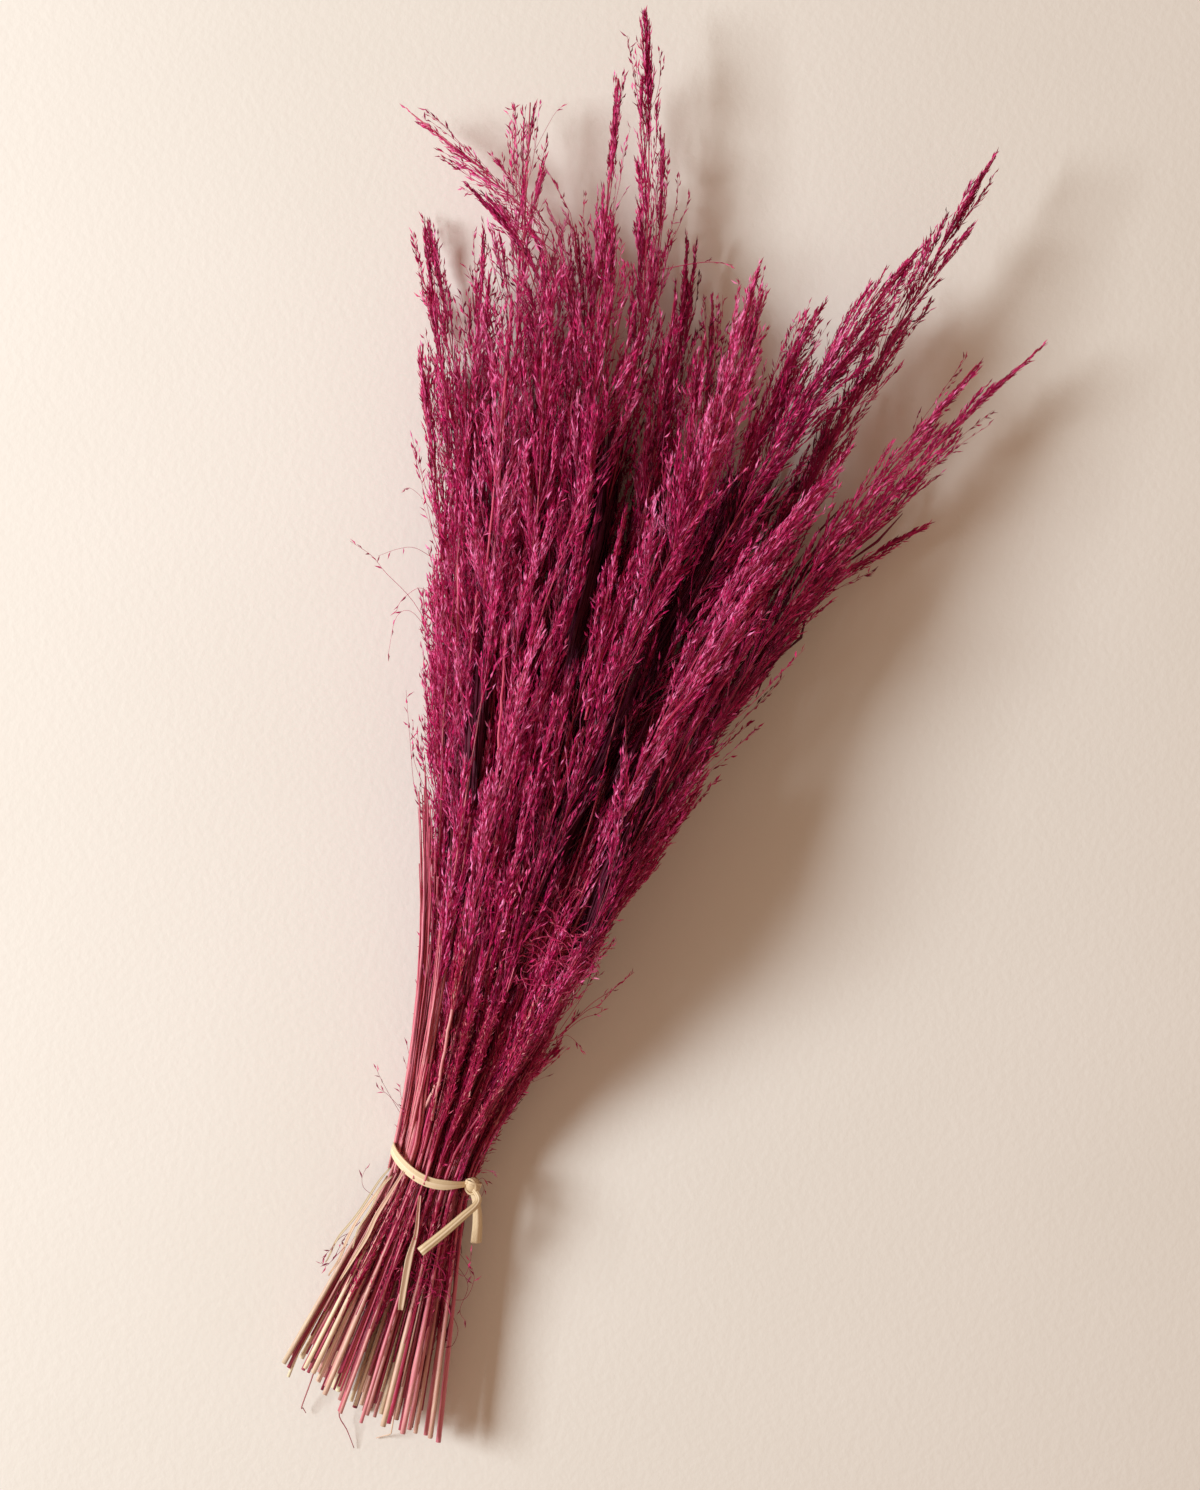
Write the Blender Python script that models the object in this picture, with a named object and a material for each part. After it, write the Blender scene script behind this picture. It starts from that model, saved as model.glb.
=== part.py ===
# Bundle of dried bent grass, tied with a strip of raffia and lying on its side.
# Lengths are in metres. +Z is up, +Y runs from the cut ends to the tips, and the bundle lies on z = 0.
import math
import random

import bmesh
import bpy
import numpy as np
from mathutils import Vector

SEED = 7

# The neck is the oval of stems that the tie holds, round y = 0
NECK_HALF_WIDTH = 0.0208
NECK_HALF_HEIGHT = 0.0162
NECK_RADIUS = 0.0022
STEM_RADIUS = 0.0015
NECK_STRAIGHT = 0.012
NECK_FADE = 0.040
CLEARANCE = 0.00029

# The tie is one strip of raffia, knotted at the upper right, with two cut tails
TIE_WIDTH = 0.0052
TIE_THICKNESS = 0.0013
TIE_GAP = 0.0005
TIE_FLAT = 0.016
TIE_TURN_UP = 1.25
TIE_SEGMENTS = 30
TIE_SLANT = -0.10
KNOT_ANGLE = math.radians(38)
KNOT_SIZE = (0.0088, 0.0098, 0.0074)
KNOT_LIFT = 0.0024
TAIL_WIDTH = 0.0046
TAIL_THICKNESS = 0.0011

# Below the tie the stems spread to their cut ends, which are nearer on the left
CUT_NEAR = 0.104
CUT_FAR = 0.119
CUT_JITTER = 0.007
SPREAD_AT_CUT = 2.35
RISE_AT_CUT = 1.12

# Above the tie the sprays fan out and pile up
PILE_REACH = 0.17
PILE_LENGTHS = [0.0, PILE_REACH, 0.45, 0.56]
PILE_HEIGHTS = [0.040, 0.088, 0.075, 0.050]

# How far the fan reaches to each side: place along the bundle, then least and greatest x
FAN = np.array([
    (0.020, -0.0235, 0.0225),
    (0.054, -0.0272, 0.0280),
    (0.087, -0.0335, 0.0345),
    (0.117, -0.0405, 0.0400),
    (0.149, -0.0505, 0.0465),
    (0.182, -0.0625, 0.0560),
    (0.214, -0.0715, 0.0640),
    (0.247, -0.0780, 0.0730),
    (0.280, -0.0885, 0.0845),
    (0.314, -0.0995, 0.0960),
    (0.345, -0.1160, 0.1180),
    (0.372, -0.1280, 0.2000),
    (0.430, -0.1530, 0.2000),
    (0.460, -0.2000, 0.2000),
])

# A head starts lower on the right of the fan, grows with its distance from the tie and tapers to its tip.
# Its raised points stand between a slim core and the head's own radius, in rings that turn as they go up.
HEAD_START = 0.062
HEAD_START_SLOPE = 0.12
HEAD_START_RANGE = (0.040, 0.110)
HEAD_RISE = 0.050
HEAD_GROWTH = 0.0310
HEAD_GROWTH_FROM = 0.022
CROWDED_SHARE = 0.82
CROWDED_UP_TO = (0.27, 0.37)
HEAD_CORE = 0.34
TIP_TAPER = 0.100
TIP_BLUNT = 0.012
RAISED_REACH = (0.86, 1.0)
RAISED_AHEAD = (0.55, 0.95)
RAISED_TURN = 0.20
TWIST = 0.22
SIDES = 6

# One spray a row, measured from the middle of the tie, the left half of the fan first:
# tip x, y and height, then x and y of its middle, then the greatest radius of its head
SPRAYS = [
    (-0.169, 0.472, 0.018, -0.093, 0.440, 0.0085),
    (-0.111, 0.494, 0.022, -0.084, 0.404, 0.0110),
    (-0.129, 0.443, 0.034, -0.093, 0.420, 0.0080),
    (-0.146, 0.428, 0.010, -0.101, 0.335, 0.0085),
    (-0.121, 0.401, 0.012, -0.098, 0.341, 0.0080),
    (-0.127, 0.366, 0.012, -0.095, 0.292, 0.0090),
    (-0.111, 0.428, 0.024, -0.090, 0.343, 0.0095),
    (-0.091, 0.399, 0.044, -0.071, 0.318, 0.0100),
    (-0.082, 0.443, 0.018, -0.056, 0.364, 0.0100),
    (-0.078, 0.518, 0.022, -0.060, 0.432, 0.0075),
    (-0.074, 0.547, 0.030, -0.030, 0.406, 0.0085),
    (-0.055, 0.447, 0.042, -0.032, 0.370, 0.0105),
    (-0.048, 0.501, 0.020, -0.028, 0.423, 0.0085),
    (-0.022, 0.457, 0.018, -0.004, 0.371, 0.0105),
    (-0.014, 0.407, 0.026, -0.005, 0.345, 0.0110),
    (-0.071, 0.388, 0.062, -0.048, 0.304, 0.0110),
    (-0.093, 0.340, 0.034, -0.074, 0.258, 0.0100),
    (-0.039, 0.364, 0.068, -0.025, 0.292, 0.0115),
    (-0.023, 0.330, 0.076, -0.025, 0.248, 0.0110),
    (-0.097, 0.290, 0.016, -0.071, 0.209, 0.0090),
    (-0.082, 0.236, 0.026, -0.058, 0.163, 0.0080),
    (-0.053, 0.268, 0.066, -0.040, 0.194, 0.0100),
    (-0.011, 0.228, 0.072, -0.008, 0.156, 0.0095),
    (-0.035, 0.181, 0.058, -0.029, 0.124, 0.0075),
    (0.014, 0.448, 0.060, 0.017, 0.350, 0.0105),
    (0.049, 0.443, 0.038, 0.041, 0.384, 0.0105),
    (0.083, 0.480, 0.044, 0.055, 0.388, 0.0125),
    (0.104, 0.536, 0.034, 0.079, 0.421, 0.0105),
    (0.089, 0.459, 0.022, 0.072, 0.400, 0.0100),
    (0.130, 0.438, 0.036, 0.095, 0.342, 0.0110),
    (0.155, 0.457, 0.032, 0.120, 0.385, 0.0105),
    (0.134, 0.363, 0.020, 0.095, 0.313, 0.0105),
    (0.083, 0.379, 0.064, 0.054, 0.298, 0.0110),
    (0.074, 0.364, 0.044, 0.051, 0.308, 0.0105),
    (-0.004, 0.433, 0.016, 0.013, 0.351, 0.0100),
    (-0.010, 0.320, 0.070, -0.003, 0.231, 0.0100),
    (0.022, 0.336, 0.074, 0.008, 0.262, 0.0105),
    (0.014, 0.232, 0.080, 0.034, 0.160, 0.0070),
    (0.067, 0.293, 0.058, 0.052, 0.229, 0.0100),
    (0.096, 0.293, 0.028, 0.070, 0.220, 0.0095),
    (0.059, 0.222, 0.054, 0.048, 0.164, 0.0085),
    (0.020, 0.146, 0.060, 0.016, 0.087, 0.0060),
    (0.060, 0.115, 0.022, 0.038, 0.075, 0.0055),
    (0.058, 0.152, 0.034, 0.038, 0.090, 0.0065),
    (-0.060, 0.330, 0.012, -0.045, 0.240, 0.0110),
    (0.030, 0.345, 0.012, 0.020, 0.250, 0.0110),
    (0.062, 0.400, 0.012, 0.045, 0.290, 0.0110),
    (-0.020, 0.300, 0.012, -0.015, 0.220, 0.0110),
]

# The two dry leaf blades that lie over the stems below the tie: x and y along each
LEAVES = {
    "leaf_front": [(-0.004, -0.005), (-0.002, -0.020), (0.001, -0.036), (0.004, -0.052), (0.006, -0.067)],
    "leaf_left": [(-0.013, -0.005), (-0.016, -0.020), (-0.0195, -0.035), (-0.023, -0.050), (-0.026, -0.065)],
}
LEAF_FACING = (0.0, 0.0, 1.0)
LEAF_WIDTH = 0.0036
LEAF_THICKNESS = 0.0009

# The cut tails of the tie leave the knot and lie on the stems: the way that each faces, then x, y and height
TAILS = [
    ((0.0, 0.0, 1.0), [(0.0170, -0.002, 0.0310), (0.0240, -0.005, 0.0330), (0.0258, -0.010, 0.0350),
                       (0.0200, -0.022, 0.0400), (0.0060, -0.037, 0.0430)]),
    ((0.8, 0.0, 0.6), [(0.0195, -0.002, 0.0290), (0.0258, -0.009, 0.0270), (0.0305, -0.018, 0.0250),
                       (0.0322, -0.028, 0.0240)]),
]

# Heights of the neck, and places along the bundle where every spray is settled against its neighbours.
# A settling step closes a share of each overlap, then evens each spray's shift along its length.
NECK_BOTTOM = TIE_THICKNESS + TIE_GAP
NECK_MIDDLE = NECK_BOTTOM + NECK_HALF_HEIGHT
PUSH_SHARE = 0.45
EVEN_SHARE = 0.7
BEND_LEAD = 0.7
BEYOND_END = 0.030
BEYOND_TIP = 0.014
END_STEP = 0.010
TIP_STEP = 0.006
NECK_STEPS = 1500
SETTLE_STEPS = 420
LOOSE_STEPS = 90
STATIONS = np.concatenate([
    [-0.129, -0.100, -0.055, -NECK_STRAIGHT, NECK_STRAIGHT, 0.032],
    np.arange(0.050, 0.250, 0.0155),
    np.arange(0.2515, 0.560, 0.0135),
])

COLOURS = {
    "head": ((0.27, 0.018, 0.055, 1.0), 0.72),
    "tie": ((0.80, 0.66, 0.46, 1.0), 0.60),
    "leaf": ((0.66, 0.55, 0.33, 1.0), 0.65),
}


def clear_scene():
    for thing in list(bpy.data.objects):
        bpy.data.objects.remove(thing, do_unlink=True)


def smooth(t):
    """Runs from 0 to 1 with level ends as t does."""
    t = np.clip(t, 0.0, 1.0)
    return t * t * (3.0 - 2.0 * t)


def make_material(name, colour, roughness):
    material = bpy.data.materials.new(name)
    material.use_nodes = True
    shader = material.node_tree.nodes["Principled BSDF"]
    shader.inputs["Base Color"].default_value = colour
    shader.inputs["Roughness"].default_value = roughness
    shader.inputs["Metallic"].default_value = 0.0
    return material


def add_object(name, vertices, faces, kind):
    """One named object with its own material, from points in metres and faces."""
    mesh = bpy.data.meshes.new(name)
    mesh.from_pydata([tuple(float(c) for c in v) for v in vertices], [], faces)
    mesh.validate()
    thing = bpy.data.objects.new(name, mesh)
    bpy.context.scene.collection.objects.link(thing)
    colour, roughness = COLOURS[kind]
    mesh.materials.append(make_material(name + "_finish", colour, roughness))
    return thing


def cut_ends(places):
    """Where each stem was cut: nearer the tie on the left of the bundle, and a little uneven."""
    draw = random.Random(SEED)
    across = smooth((places[:, 0] / NECK_HALF_WIDTH + 1.0) / 1.2)
    uneven = np.array([draw.random() for _ in places]) * CUT_JITTER
    return -(CUT_NEAR + (CUT_FAR - CUT_NEAR) * across + uneven)


def neck_places(table):
    """The place of each stem in the oval neck, in the order in which the sprays fan out."""
    lean = table[:, 3] / table[:, 4]
    across = lean / np.abs(lean).max()
    height = table[:, 2] / table[:, 2].max() * 2.0 - 1.0
    places = np.stack([across * NECK_HALF_WIDTH, height * NECK_HALF_HEIGHT], axis=1)
    inner = np.array([NECK_HALF_WIDTH, NECK_HALF_HEIGHT]) - NECK_RADIUS
    reach = np.full(len(places), NECK_RADIUS + CLEARANCE / 2.0)
    for _ in range(NECK_STEPS):
        push_apart(places, reach)
        out = np.linalg.norm(places / inner, axis=1)
        places /= np.maximum(out, 1.0)[:, None]
    return places


def push_apart(places, reach):
    """Moves every two discs that overlap away from each other, along the line between them."""
    away = places[:, None, :] - places[None, :, :]
    distance = np.linalg.norm(away, axis=2) + np.eye(len(places))
    lap = np.maximum(reach[:, None] + reach[None, :] - distance, 0.0)
    np.fill_diagonal(lap, 0.0)
    direction = away / np.maximum(distance, 1e-6)[:, :, None]
    places += PUSH_SHARE / 2.0 * np.sum(direction * lap[:, :, None], axis=1)


def head_starts(table):
    """How far above the tie each spray's head starts."""
    lean = table[:, 3] / table[:, 4]
    return np.clip(HEAD_START - HEAD_START_SLOPE * lean, *HEAD_START_RANGE)


def head_radii(table, y):
    """The radius that each spray fills at y, from bare stem near the tie to a fine tip."""
    free = smooth((y - CROWDED_UP_TO[0]) / (CROWDED_UP_TO[1] - CROWDED_UP_TO[0]))
    room = CROWDED_SHARE + (1.0 - CROWDED_SHARE) * free
    widest = np.minimum(table[:, 5] * room, STEM_RADIUS + HEAD_GROWTH * max(y - HEAD_GROWTH_FROM, 0.0))
    grown = smooth((y - head_starts(table)) / HEAD_RISE + 0.3)
    left = smooth((table[:, 1] - y + TIP_BLUNT) / TIP_TAPER)
    neck = STEM_RADIUS + (NECK_RADIUS - STEM_RADIUS) * smooth(1.5 - abs(y) / NECK_FADE)
    return neck + np.maximum(widest - neck, 0.0) * grown * left


def targets(table, places):
    """Where each spray would run if the others weren't there: x and z at every station."""
    paths = np.zeros((len(STATIONS), len(table), 2))
    tip_x, tip_y, tip_z, mid_x, mid_y = (table[:, k] for k in range(5))
    to_mid, to_tip = mid_x - places[:, 0], tip_x - places[:, 0]
    bend_from = np.maximum(mid_y - BEND_LEAD * (tip_y - mid_y), 0.0)
    stretch = tip_y / mid_y
    bend = (to_tip - to_mid * stretch) / ((tip_y - bend_from) ** 2 - (mid_y - bend_from) ** 2 * stretch)
    slope = (to_mid - bend * (mid_y - bend_from) ** 2) / mid_y
    for k, y in enumerate(STATIONS):
        if y <= NECK_STRAIGHT:
            down = max(-y - NECK_STRAIGHT, 0.0) / CUT_FAR
            paths[k, :, 0] = places[:, 0] * (1.0 + (SPREAD_AT_CUT - 1.0) * down)
            paths[k, :, 1] = NECK_MIDDLE + places[:, 1] * (1.0 + (RISE_AT_CUT - 1.0) * down)
        else:
            paths[k, :, 0] = places[:, 0] + slope * y + bend * np.maximum(y - bend_from, 0.0) ** 2
            up = smooth(y / np.minimum(PILE_REACH, tip_y))
            paths[k, :, 1] = (NECK_MIDDLE + places[:, 1]) * (1.0 - up) + tip_z * up
    return paths


def settle(table, ends, places):
    """Pushes the sprays apart at every station, above z = 0, and keeps each one smooth along its length."""
    wanted = targets(table, places)
    paths = wanted.copy()
    radii = np.array([head_radii(table, y) for y in STATIONS])
    alive = STATIONS[:, None] > ends[None, :] - BEYOND_END
    alive &= STATIONS[:, None] < table[None, :, 1] + BEYOND_TIP
    free = [k for k, y in enumerate(STATIONS) if abs(y) > NECK_STRAIGHT]
    ceiling = np.interp(STATIONS, PILE_LENGTHS, PILE_HEIGHTS)
    left, right = (np.interp(STATIONS, FAN[:, 0], FAN[:, side]) for side in (1, 2))
    for step in range(SETTLE_STEPS):
        for k in free:
            live = np.flatnonzero(alive[k])
            spot = paths[k, live]
            reach = radii[k, live] + CLEARANCE
            push_apart(spot, reach)
            spot[:, 1] = np.minimum(spot[:, 1], np.maximum(ceiling[k] - reach, reach))
            spot[:, 1] = np.maximum(spot[:, 1], radii[k, live])
            if STATIONS[k] > NECK_STRAIGHT:
                spot[:, 0] = np.clip(spot[:, 0], left[k] + reach, right[k] - reach)
            paths[k, live] = spot
        if step < SETTLE_STEPS - LOOSE_STEPS:
            shift = paths - wanted
            shift[1:-1] = 0.5 * shift[1:-1] + 0.25 * (shift[:-2] + shift[2:])
            for k in free[:-1]:
                paths[k] = EVEN_SHARE * (wanted[k] + shift[k]) + (1.0 - EVEN_SHARE) * paths[k]
    return paths, trim_radii(paths, radii, alive)


def trim_radii(paths, radii, alive):
    """Slims two heads where they still meet, in the ratio of their radii."""
    for k in range(len(STATIONS)):
        live = np.flatnonzero(alive[k])
        spot = paths[k, live]
        distance = np.linalg.norm(spot[:, None, :] - spot[None, :, :], axis=2) + np.eye(len(live))
        reach = radii[k, live]
        room = (distance - 2.0 * CLEARANCE) / (reach[:, None] + reach[None, :])
        np.fill_diagonal(room, 1.0)
        radii[k, live] = reach * np.minimum(room.min(axis=1), 1.0)
    return radii


def spray_rows(index, table, ends, paths, radii):
    """Centre and radius of each ring of one spray, from its cut end to just below its tip."""
    first, last = ends[index], table[index, 1]
    ys = [first] + [y for y in STATIONS if first + END_STEP < y < last - TIP_STEP] + [last]
    rows = []
    for y in ys:
        x = np.interp(y, STATIONS, paths[:, index, 0])
        z = np.interp(y, STATIONS, paths[:, index, 1])
        rows.append((x, y, z, np.interp(y, STATIONS, radii[:, index])))
    return rows


def spray_mesh(index, table, ends, paths, radii):
    """A stem whose upper part is raised, by a formula, into spikelets that point out and towards the tip."""
    draw = random.Random(SEED * 100 + index)
    rows = spray_rows(index, table, ends, paths, radii)
    start = head_starts(table)[index]
    phase = draw.random() * math.tau
    vertices = []
    for k, (x, y, z, radius) in enumerate(rows[:-1]):
        after = rows[k + 1]
        in_head = y > start and k > 1
        core = max(min(radius, STEM_RADIUS), HEAD_CORE * radius) if in_head else radius
        for side in range(SIDES):
            angle = phase + TWIST * k + math.tau * side / SIDES
            ahead, out = 0.0, core
            if in_head and (k + side) % 2 == 0:
                angle += draw.uniform(-RAISED_TURN, RAISED_TURN)
                ahead = draw.uniform(*RAISED_AHEAD)
                out = (radius + (after[3] - radius) * ahead) * draw.uniform(*RAISED_REACH)
            vertices.append((
                x + (after[0] - x) * ahead + out * math.cos(angle),
                y + (after[1] - y) * ahead,
                z + (after[2] - z) * ahead + out * math.sin(angle),
            ))
    vertices.append(rows[-1][:3])
    return vertices, spray_faces(len(rows) - 1)


def spray_faces(rings):
    """Triangles between the rings, split so that each raised point is a small pyramid of its own."""
    faces = [list(range(SIDES))]
    for k in range(rings - 1):
        for side in range(SIDES):
            nearer, further = k * SIDES + side, (k + 1) * SIDES + side
            after = (side + 1) % SIDES
            nearer_after, further_after = k * SIDES + after, (k + 1) * SIDES + after
            if (k + side) % 2 == 0:
                faces.append([nearer, further, nearer_after])
                faces.append([nearer_after, further, further_after])
            else:
                faces.append([nearer, further_after, nearer_after])
                faces.append([nearer, further, further_after])
    last = (rings - 1) * SIDES
    tip = rings * SIDES
    for side in range(SIDES):
        faces.append([last + side, tip, last + (side + 1) % SIDES])
    return faces


def pile_top(x, y, half_width, paths, radii, ends):
    """Height of the highest stem under a strip that lies across x at y, below the tie."""
    top = 0.0
    for index in range(len(ends)):
        if y < ends[index]:
            continue
        cx = np.interp(y, STATIONS, paths[:, index, 0])
        cz = np.interp(y, STATIONS, paths[:, index, 1])
        reach = np.interp(y, STATIONS, radii[:, index]) + CLEARANCE
        off = max(abs(cx - x) - half_width, 0.0)
        if off < reach:
            top = max(top, cz + math.sqrt(reach * reach - off * off))
    return top


def strip_mesh(points, facing, width, thickness):
    """A flat strip along the points, with square ends, whose face looks the way of facing."""
    vertices = []
    count = len(points)
    for k, point in enumerate(points):
        before, after = Vector(points[max(k - 1, 0)]), Vector(points[min(k + 1, count - 1)])
        along = (after - before).normalized()
        across = along.cross(Vector(facing)).normalized() * width / 2.0
        face = along.cross(across).normalized() * thickness / 2.0
        for corner in (-across - face, across - face, across + face, face - across):
            vertices.append(tuple(Vector(point) + corner))
    faces = [[3, 2, 1, 0]]
    for k in range(count - 1):
        for side in range(4):
            a, b = k * 4 + side, k * 4 + (side + 1) % 4
            faces.append([a, b, b + 4, a + 4])
    last = (count - 1) * 4
    faces.append([last, last + 1, last + 2, last + 3])
    return vertices, faces


def band_mesh():
    """The closed band round the neck: an oval with one flat stretch below, which the bundle rests on."""
    inner_w = NECK_HALF_WIDTH + TIE_GAP
    inner_h = NECK_HALF_HEIGHT + TIE_GAP
    flat_angle = math.asin(TIE_FLAT / 2.0 / inner_w)
    first = -math.pi / 2.0 + flat_angle * TIE_TURN_UP
    sweep = math.tau - 2.0 * flat_angle * TIE_TURN_UP
    angles = [first + sweep * k / TIE_SEGMENTS for k in range(TIE_SEGMENTS + 1)]
    inner = [(inner_w * math.cos(a), NECK_MIDDLE + inner_h * math.sin(a)) for a in angles]
    outer = [((inner_w + TIE_THICKNESS) * math.cos(a), NECK_MIDDLE + (inner_h + TIE_THICKNESS) * math.sin(a))
             for a in angles]
    inner = [(-TIE_FLAT / 2.0, TIE_THICKNESS), (TIE_FLAT / 2.0, TIE_THICKNESS)] + inner
    outer = [(-TIE_FLAT / 2.0, 0.0), (TIE_FLAT / 2.0, 0.0)] + outer
    count = len(inner)
    vertices = []
    for (ix, iz), (ox, oz) in zip(inner, outer):
        for x, z, edge in ((ix, iz, -1), (ix, iz, 1), (ox, oz, 1), (ox, oz, -1)):
            vertices.append((x, x * TIE_SLANT + edge * TIE_WIDTH / 2.0, z))
    faces = []
    for k in range(count):
        for side in range(4):
            a, b = k * 4 + side, k * 4 + (side + 1) % 4
            c, d = ((k + 1) % count) * 4 + (side + 1) % 4, ((k + 1) % count) * 4 + side
            faces.append([a, b, c, d])
    return vertices, faces


def knot_mesh():
    """A squashed round lump of folded strip, on the band at the knot's angle."""
    shape = bmesh.new()
    bmesh.ops.create_icosphere(shape, subdivisions=2, radius=0.5)
    x = (NECK_HALF_WIDTH + TIE_THICKNESS + KNOT_LIFT) * math.cos(KNOT_ANGLE)
    z = NECK_MIDDLE + (NECK_HALF_HEIGHT + TIE_THICKNESS + KNOT_LIFT) * math.sin(KNOT_ANGLE)
    centre = Vector((x, x * TIE_SLANT, z))
    for vertex in shape.verts:
        vertex.co = vertex.co * Vector(KNOT_SIZE) + centre
    vertices = [tuple(v.co) for v in shape.verts]
    shape.verts.index_update()
    faces = [[v.index for v in f.verts] for f in shape.faces]
    shape.free()
    return vertices, faces


def join(target, others):
    """Unites the other objects with the target, and removes them."""
    for other in others:
        union = target.modifiers.new("union", "BOOLEAN")
        union.operation = "UNION"
        union.solver = "EXACT"
        union.object = other
        bpy.context.view_layer.update()
        evaluated = target.evaluated_get(bpy.context.evaluated_depsgraph_get())
        mesh = bpy.data.meshes.new_from_object(evaluated)
        target.modifiers.remove(union)
        target.data = mesh
        bpy.data.objects.remove(other, do_unlink=True)


def build_tie():
    band = add_object("tie", *band_mesh(), "tie")
    extras = [add_object("knot", *knot_mesh(), "tie")]
    for number, (facing, route) in enumerate(TAILS):
        tail = strip_mesh(route, facing, TAIL_WIDTH, TAIL_THICKNESS)
        extras.append(add_object(f"tail_{number}", *tail, "tie"))
    join(band, extras)


def build_leaves(paths, radii, ends):
    for name, route in LEAVES.items():
        points = []
        for x, y in route:
            top = pile_top(x, y, LEAF_WIDTH / 2.0, paths, radii, ends)
            points.append((x, y, top + LEAF_THICKNESS / 2.0 + CLEARANCE))
        add_object(name, *strip_mesh(points, LEAF_FACING, LEAF_WIDTH, LEAF_THICKNESS), "leaf")


def build_sprays(table, ends, paths, radii):
    for index in range(len(table)):
        vertices, faces = spray_mesh(index, table, ends, paths, radii)
        add_object(f"spray_{index + 1:02d}", vertices, faces, "head")


def move_to_origin():
    """Puts the middle of the bundle's box, at its foot, at the origin."""
    bpy.context.view_layer.update()
    corners = [thing.matrix_world @ v.co for thing in bpy.context.scene.objects for v in thing.data.vertices]
    low = [min(c[k] for c in corners) for k in range(3)]
    high = [max(c[k] for c in corners) for k in range(3)]
    shift = Vector((-(low[0] + high[0]) / 2.0, -(low[1] + high[1]) / 2.0, -low[2]))
    for thing in bpy.context.scene.objects:
        for vertex in thing.data.vertices:
            vertex.co = vertex.co + shift
    return shift


def main():
    clear_scene()
    table = np.array(SPRAYS)
    places = neck_places(table)
    ends = cut_ends(places)
    paths, radii = settle(table, ends, places)
    build_sprays(table, ends, paths, radii)
    build_tie()
    build_leaves(paths, radii, ends)
    return move_to_origin()


SHIFT = main()
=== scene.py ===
import math

import bpy
import numpy as np
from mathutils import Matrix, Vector


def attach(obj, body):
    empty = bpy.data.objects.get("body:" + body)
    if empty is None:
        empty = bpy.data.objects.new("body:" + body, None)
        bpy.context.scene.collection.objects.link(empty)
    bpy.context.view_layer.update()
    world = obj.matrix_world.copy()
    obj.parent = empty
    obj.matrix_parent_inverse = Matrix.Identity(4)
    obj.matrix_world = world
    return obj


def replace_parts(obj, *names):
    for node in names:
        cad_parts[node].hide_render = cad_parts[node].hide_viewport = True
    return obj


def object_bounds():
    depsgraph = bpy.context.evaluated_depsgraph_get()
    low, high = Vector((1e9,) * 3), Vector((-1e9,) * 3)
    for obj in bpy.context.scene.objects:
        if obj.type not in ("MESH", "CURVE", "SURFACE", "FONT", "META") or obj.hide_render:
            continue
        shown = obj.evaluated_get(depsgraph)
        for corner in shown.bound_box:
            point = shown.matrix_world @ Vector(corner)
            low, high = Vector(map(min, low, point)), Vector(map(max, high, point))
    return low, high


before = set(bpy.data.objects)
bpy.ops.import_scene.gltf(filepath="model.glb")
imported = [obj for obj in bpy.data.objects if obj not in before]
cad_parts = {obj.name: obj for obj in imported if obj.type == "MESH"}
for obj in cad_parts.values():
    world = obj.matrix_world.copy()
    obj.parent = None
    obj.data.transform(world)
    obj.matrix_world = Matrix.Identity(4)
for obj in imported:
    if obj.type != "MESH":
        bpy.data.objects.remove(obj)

CAD_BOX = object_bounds()
SPRAY_COUNT = 48
SEED = 20
UP = np.array([0.0, 0.0, 1.0])

# No point of the bundle goes lower or higher than these heights
LOWEST = 0.0003
HIGHEST = CAD_BOX[1][2] + 0.0020

# The camera looks straight down on the bundle, which leans 18 degrees to the right in the picture
PICTURE_WIDTH_PX = 1200
PICTURE_HEIGHT_PX = 1490
METRES_PER_PX = 0.00048
CAMERA_HEIGHT = 1.5
CAMERA_FROM_TIE = (0.0126, 0.2138)
PICTURE_TURN = math.radians(18.0)
SENSOR_WIDTH = 36.0
FLOOR_SIZE = 8.0

# The window stands to the left of the picture, a little towards its top
WINDOW_DISTANCE = 2.5
WINDOW_HEIGHT = math.radians(35.5)
WINDOW_SIDE = math.radians(5.0)
WINDOW_SIZE = 0.86
WINDOW_POWER = 71.5
WINDOW_COLOUR = (0.89, 0.965, 1.0)
FILL_COLOUR = (1.0, 0.68, 0.47, 1.0)
FILL_STRENGTH = 0.385

# The middle line of each spray is read from its node at even steps along the bundle
RING_SIZES = (3, 6)
RUN_STEP = 0.004
REACH_STEP = 0.012
REACH_LEAD = 0.02

# The side from which the points of a ring are counted, and the four faces of a spikelet
RING_SIDE = np.array([0.13, 0.05, 1.0])
SPIKELET_FACES = np.array([[0, 2, 1], [3, 1, 2], [0, 1, 3], [0, 3, 2]])

# Stems: a culm narrows at its waist above the cut end, and again towards the tip of its head
CULM_RADIUS = 0.00120
CULM_SPREAD = (0.66, 1.12)
CULM_WAIST = 0.48
WAIST_FROM = 0.03
WAIST_LENGTH = 0.07
CULM_TOP_RADIUS = 0.00032
CULM_SIDES = 6
CULM_POINTS = (24, 10)
# Painted shade: how much darker a culm is made where it runs through a dark hollow
CULM_HOLLOW_PAINTED_SHADE = 0.45
KNUCKLE_AT = (0.03, 0.16)
KNUCKLE_SWELL = 1.18
CUT_WALL = 0.58
CUT_DEPTH = 0.0022
BORE_DYE = [0.0, 0.05]
DYE_RISE = (0.015, 0.130)

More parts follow.
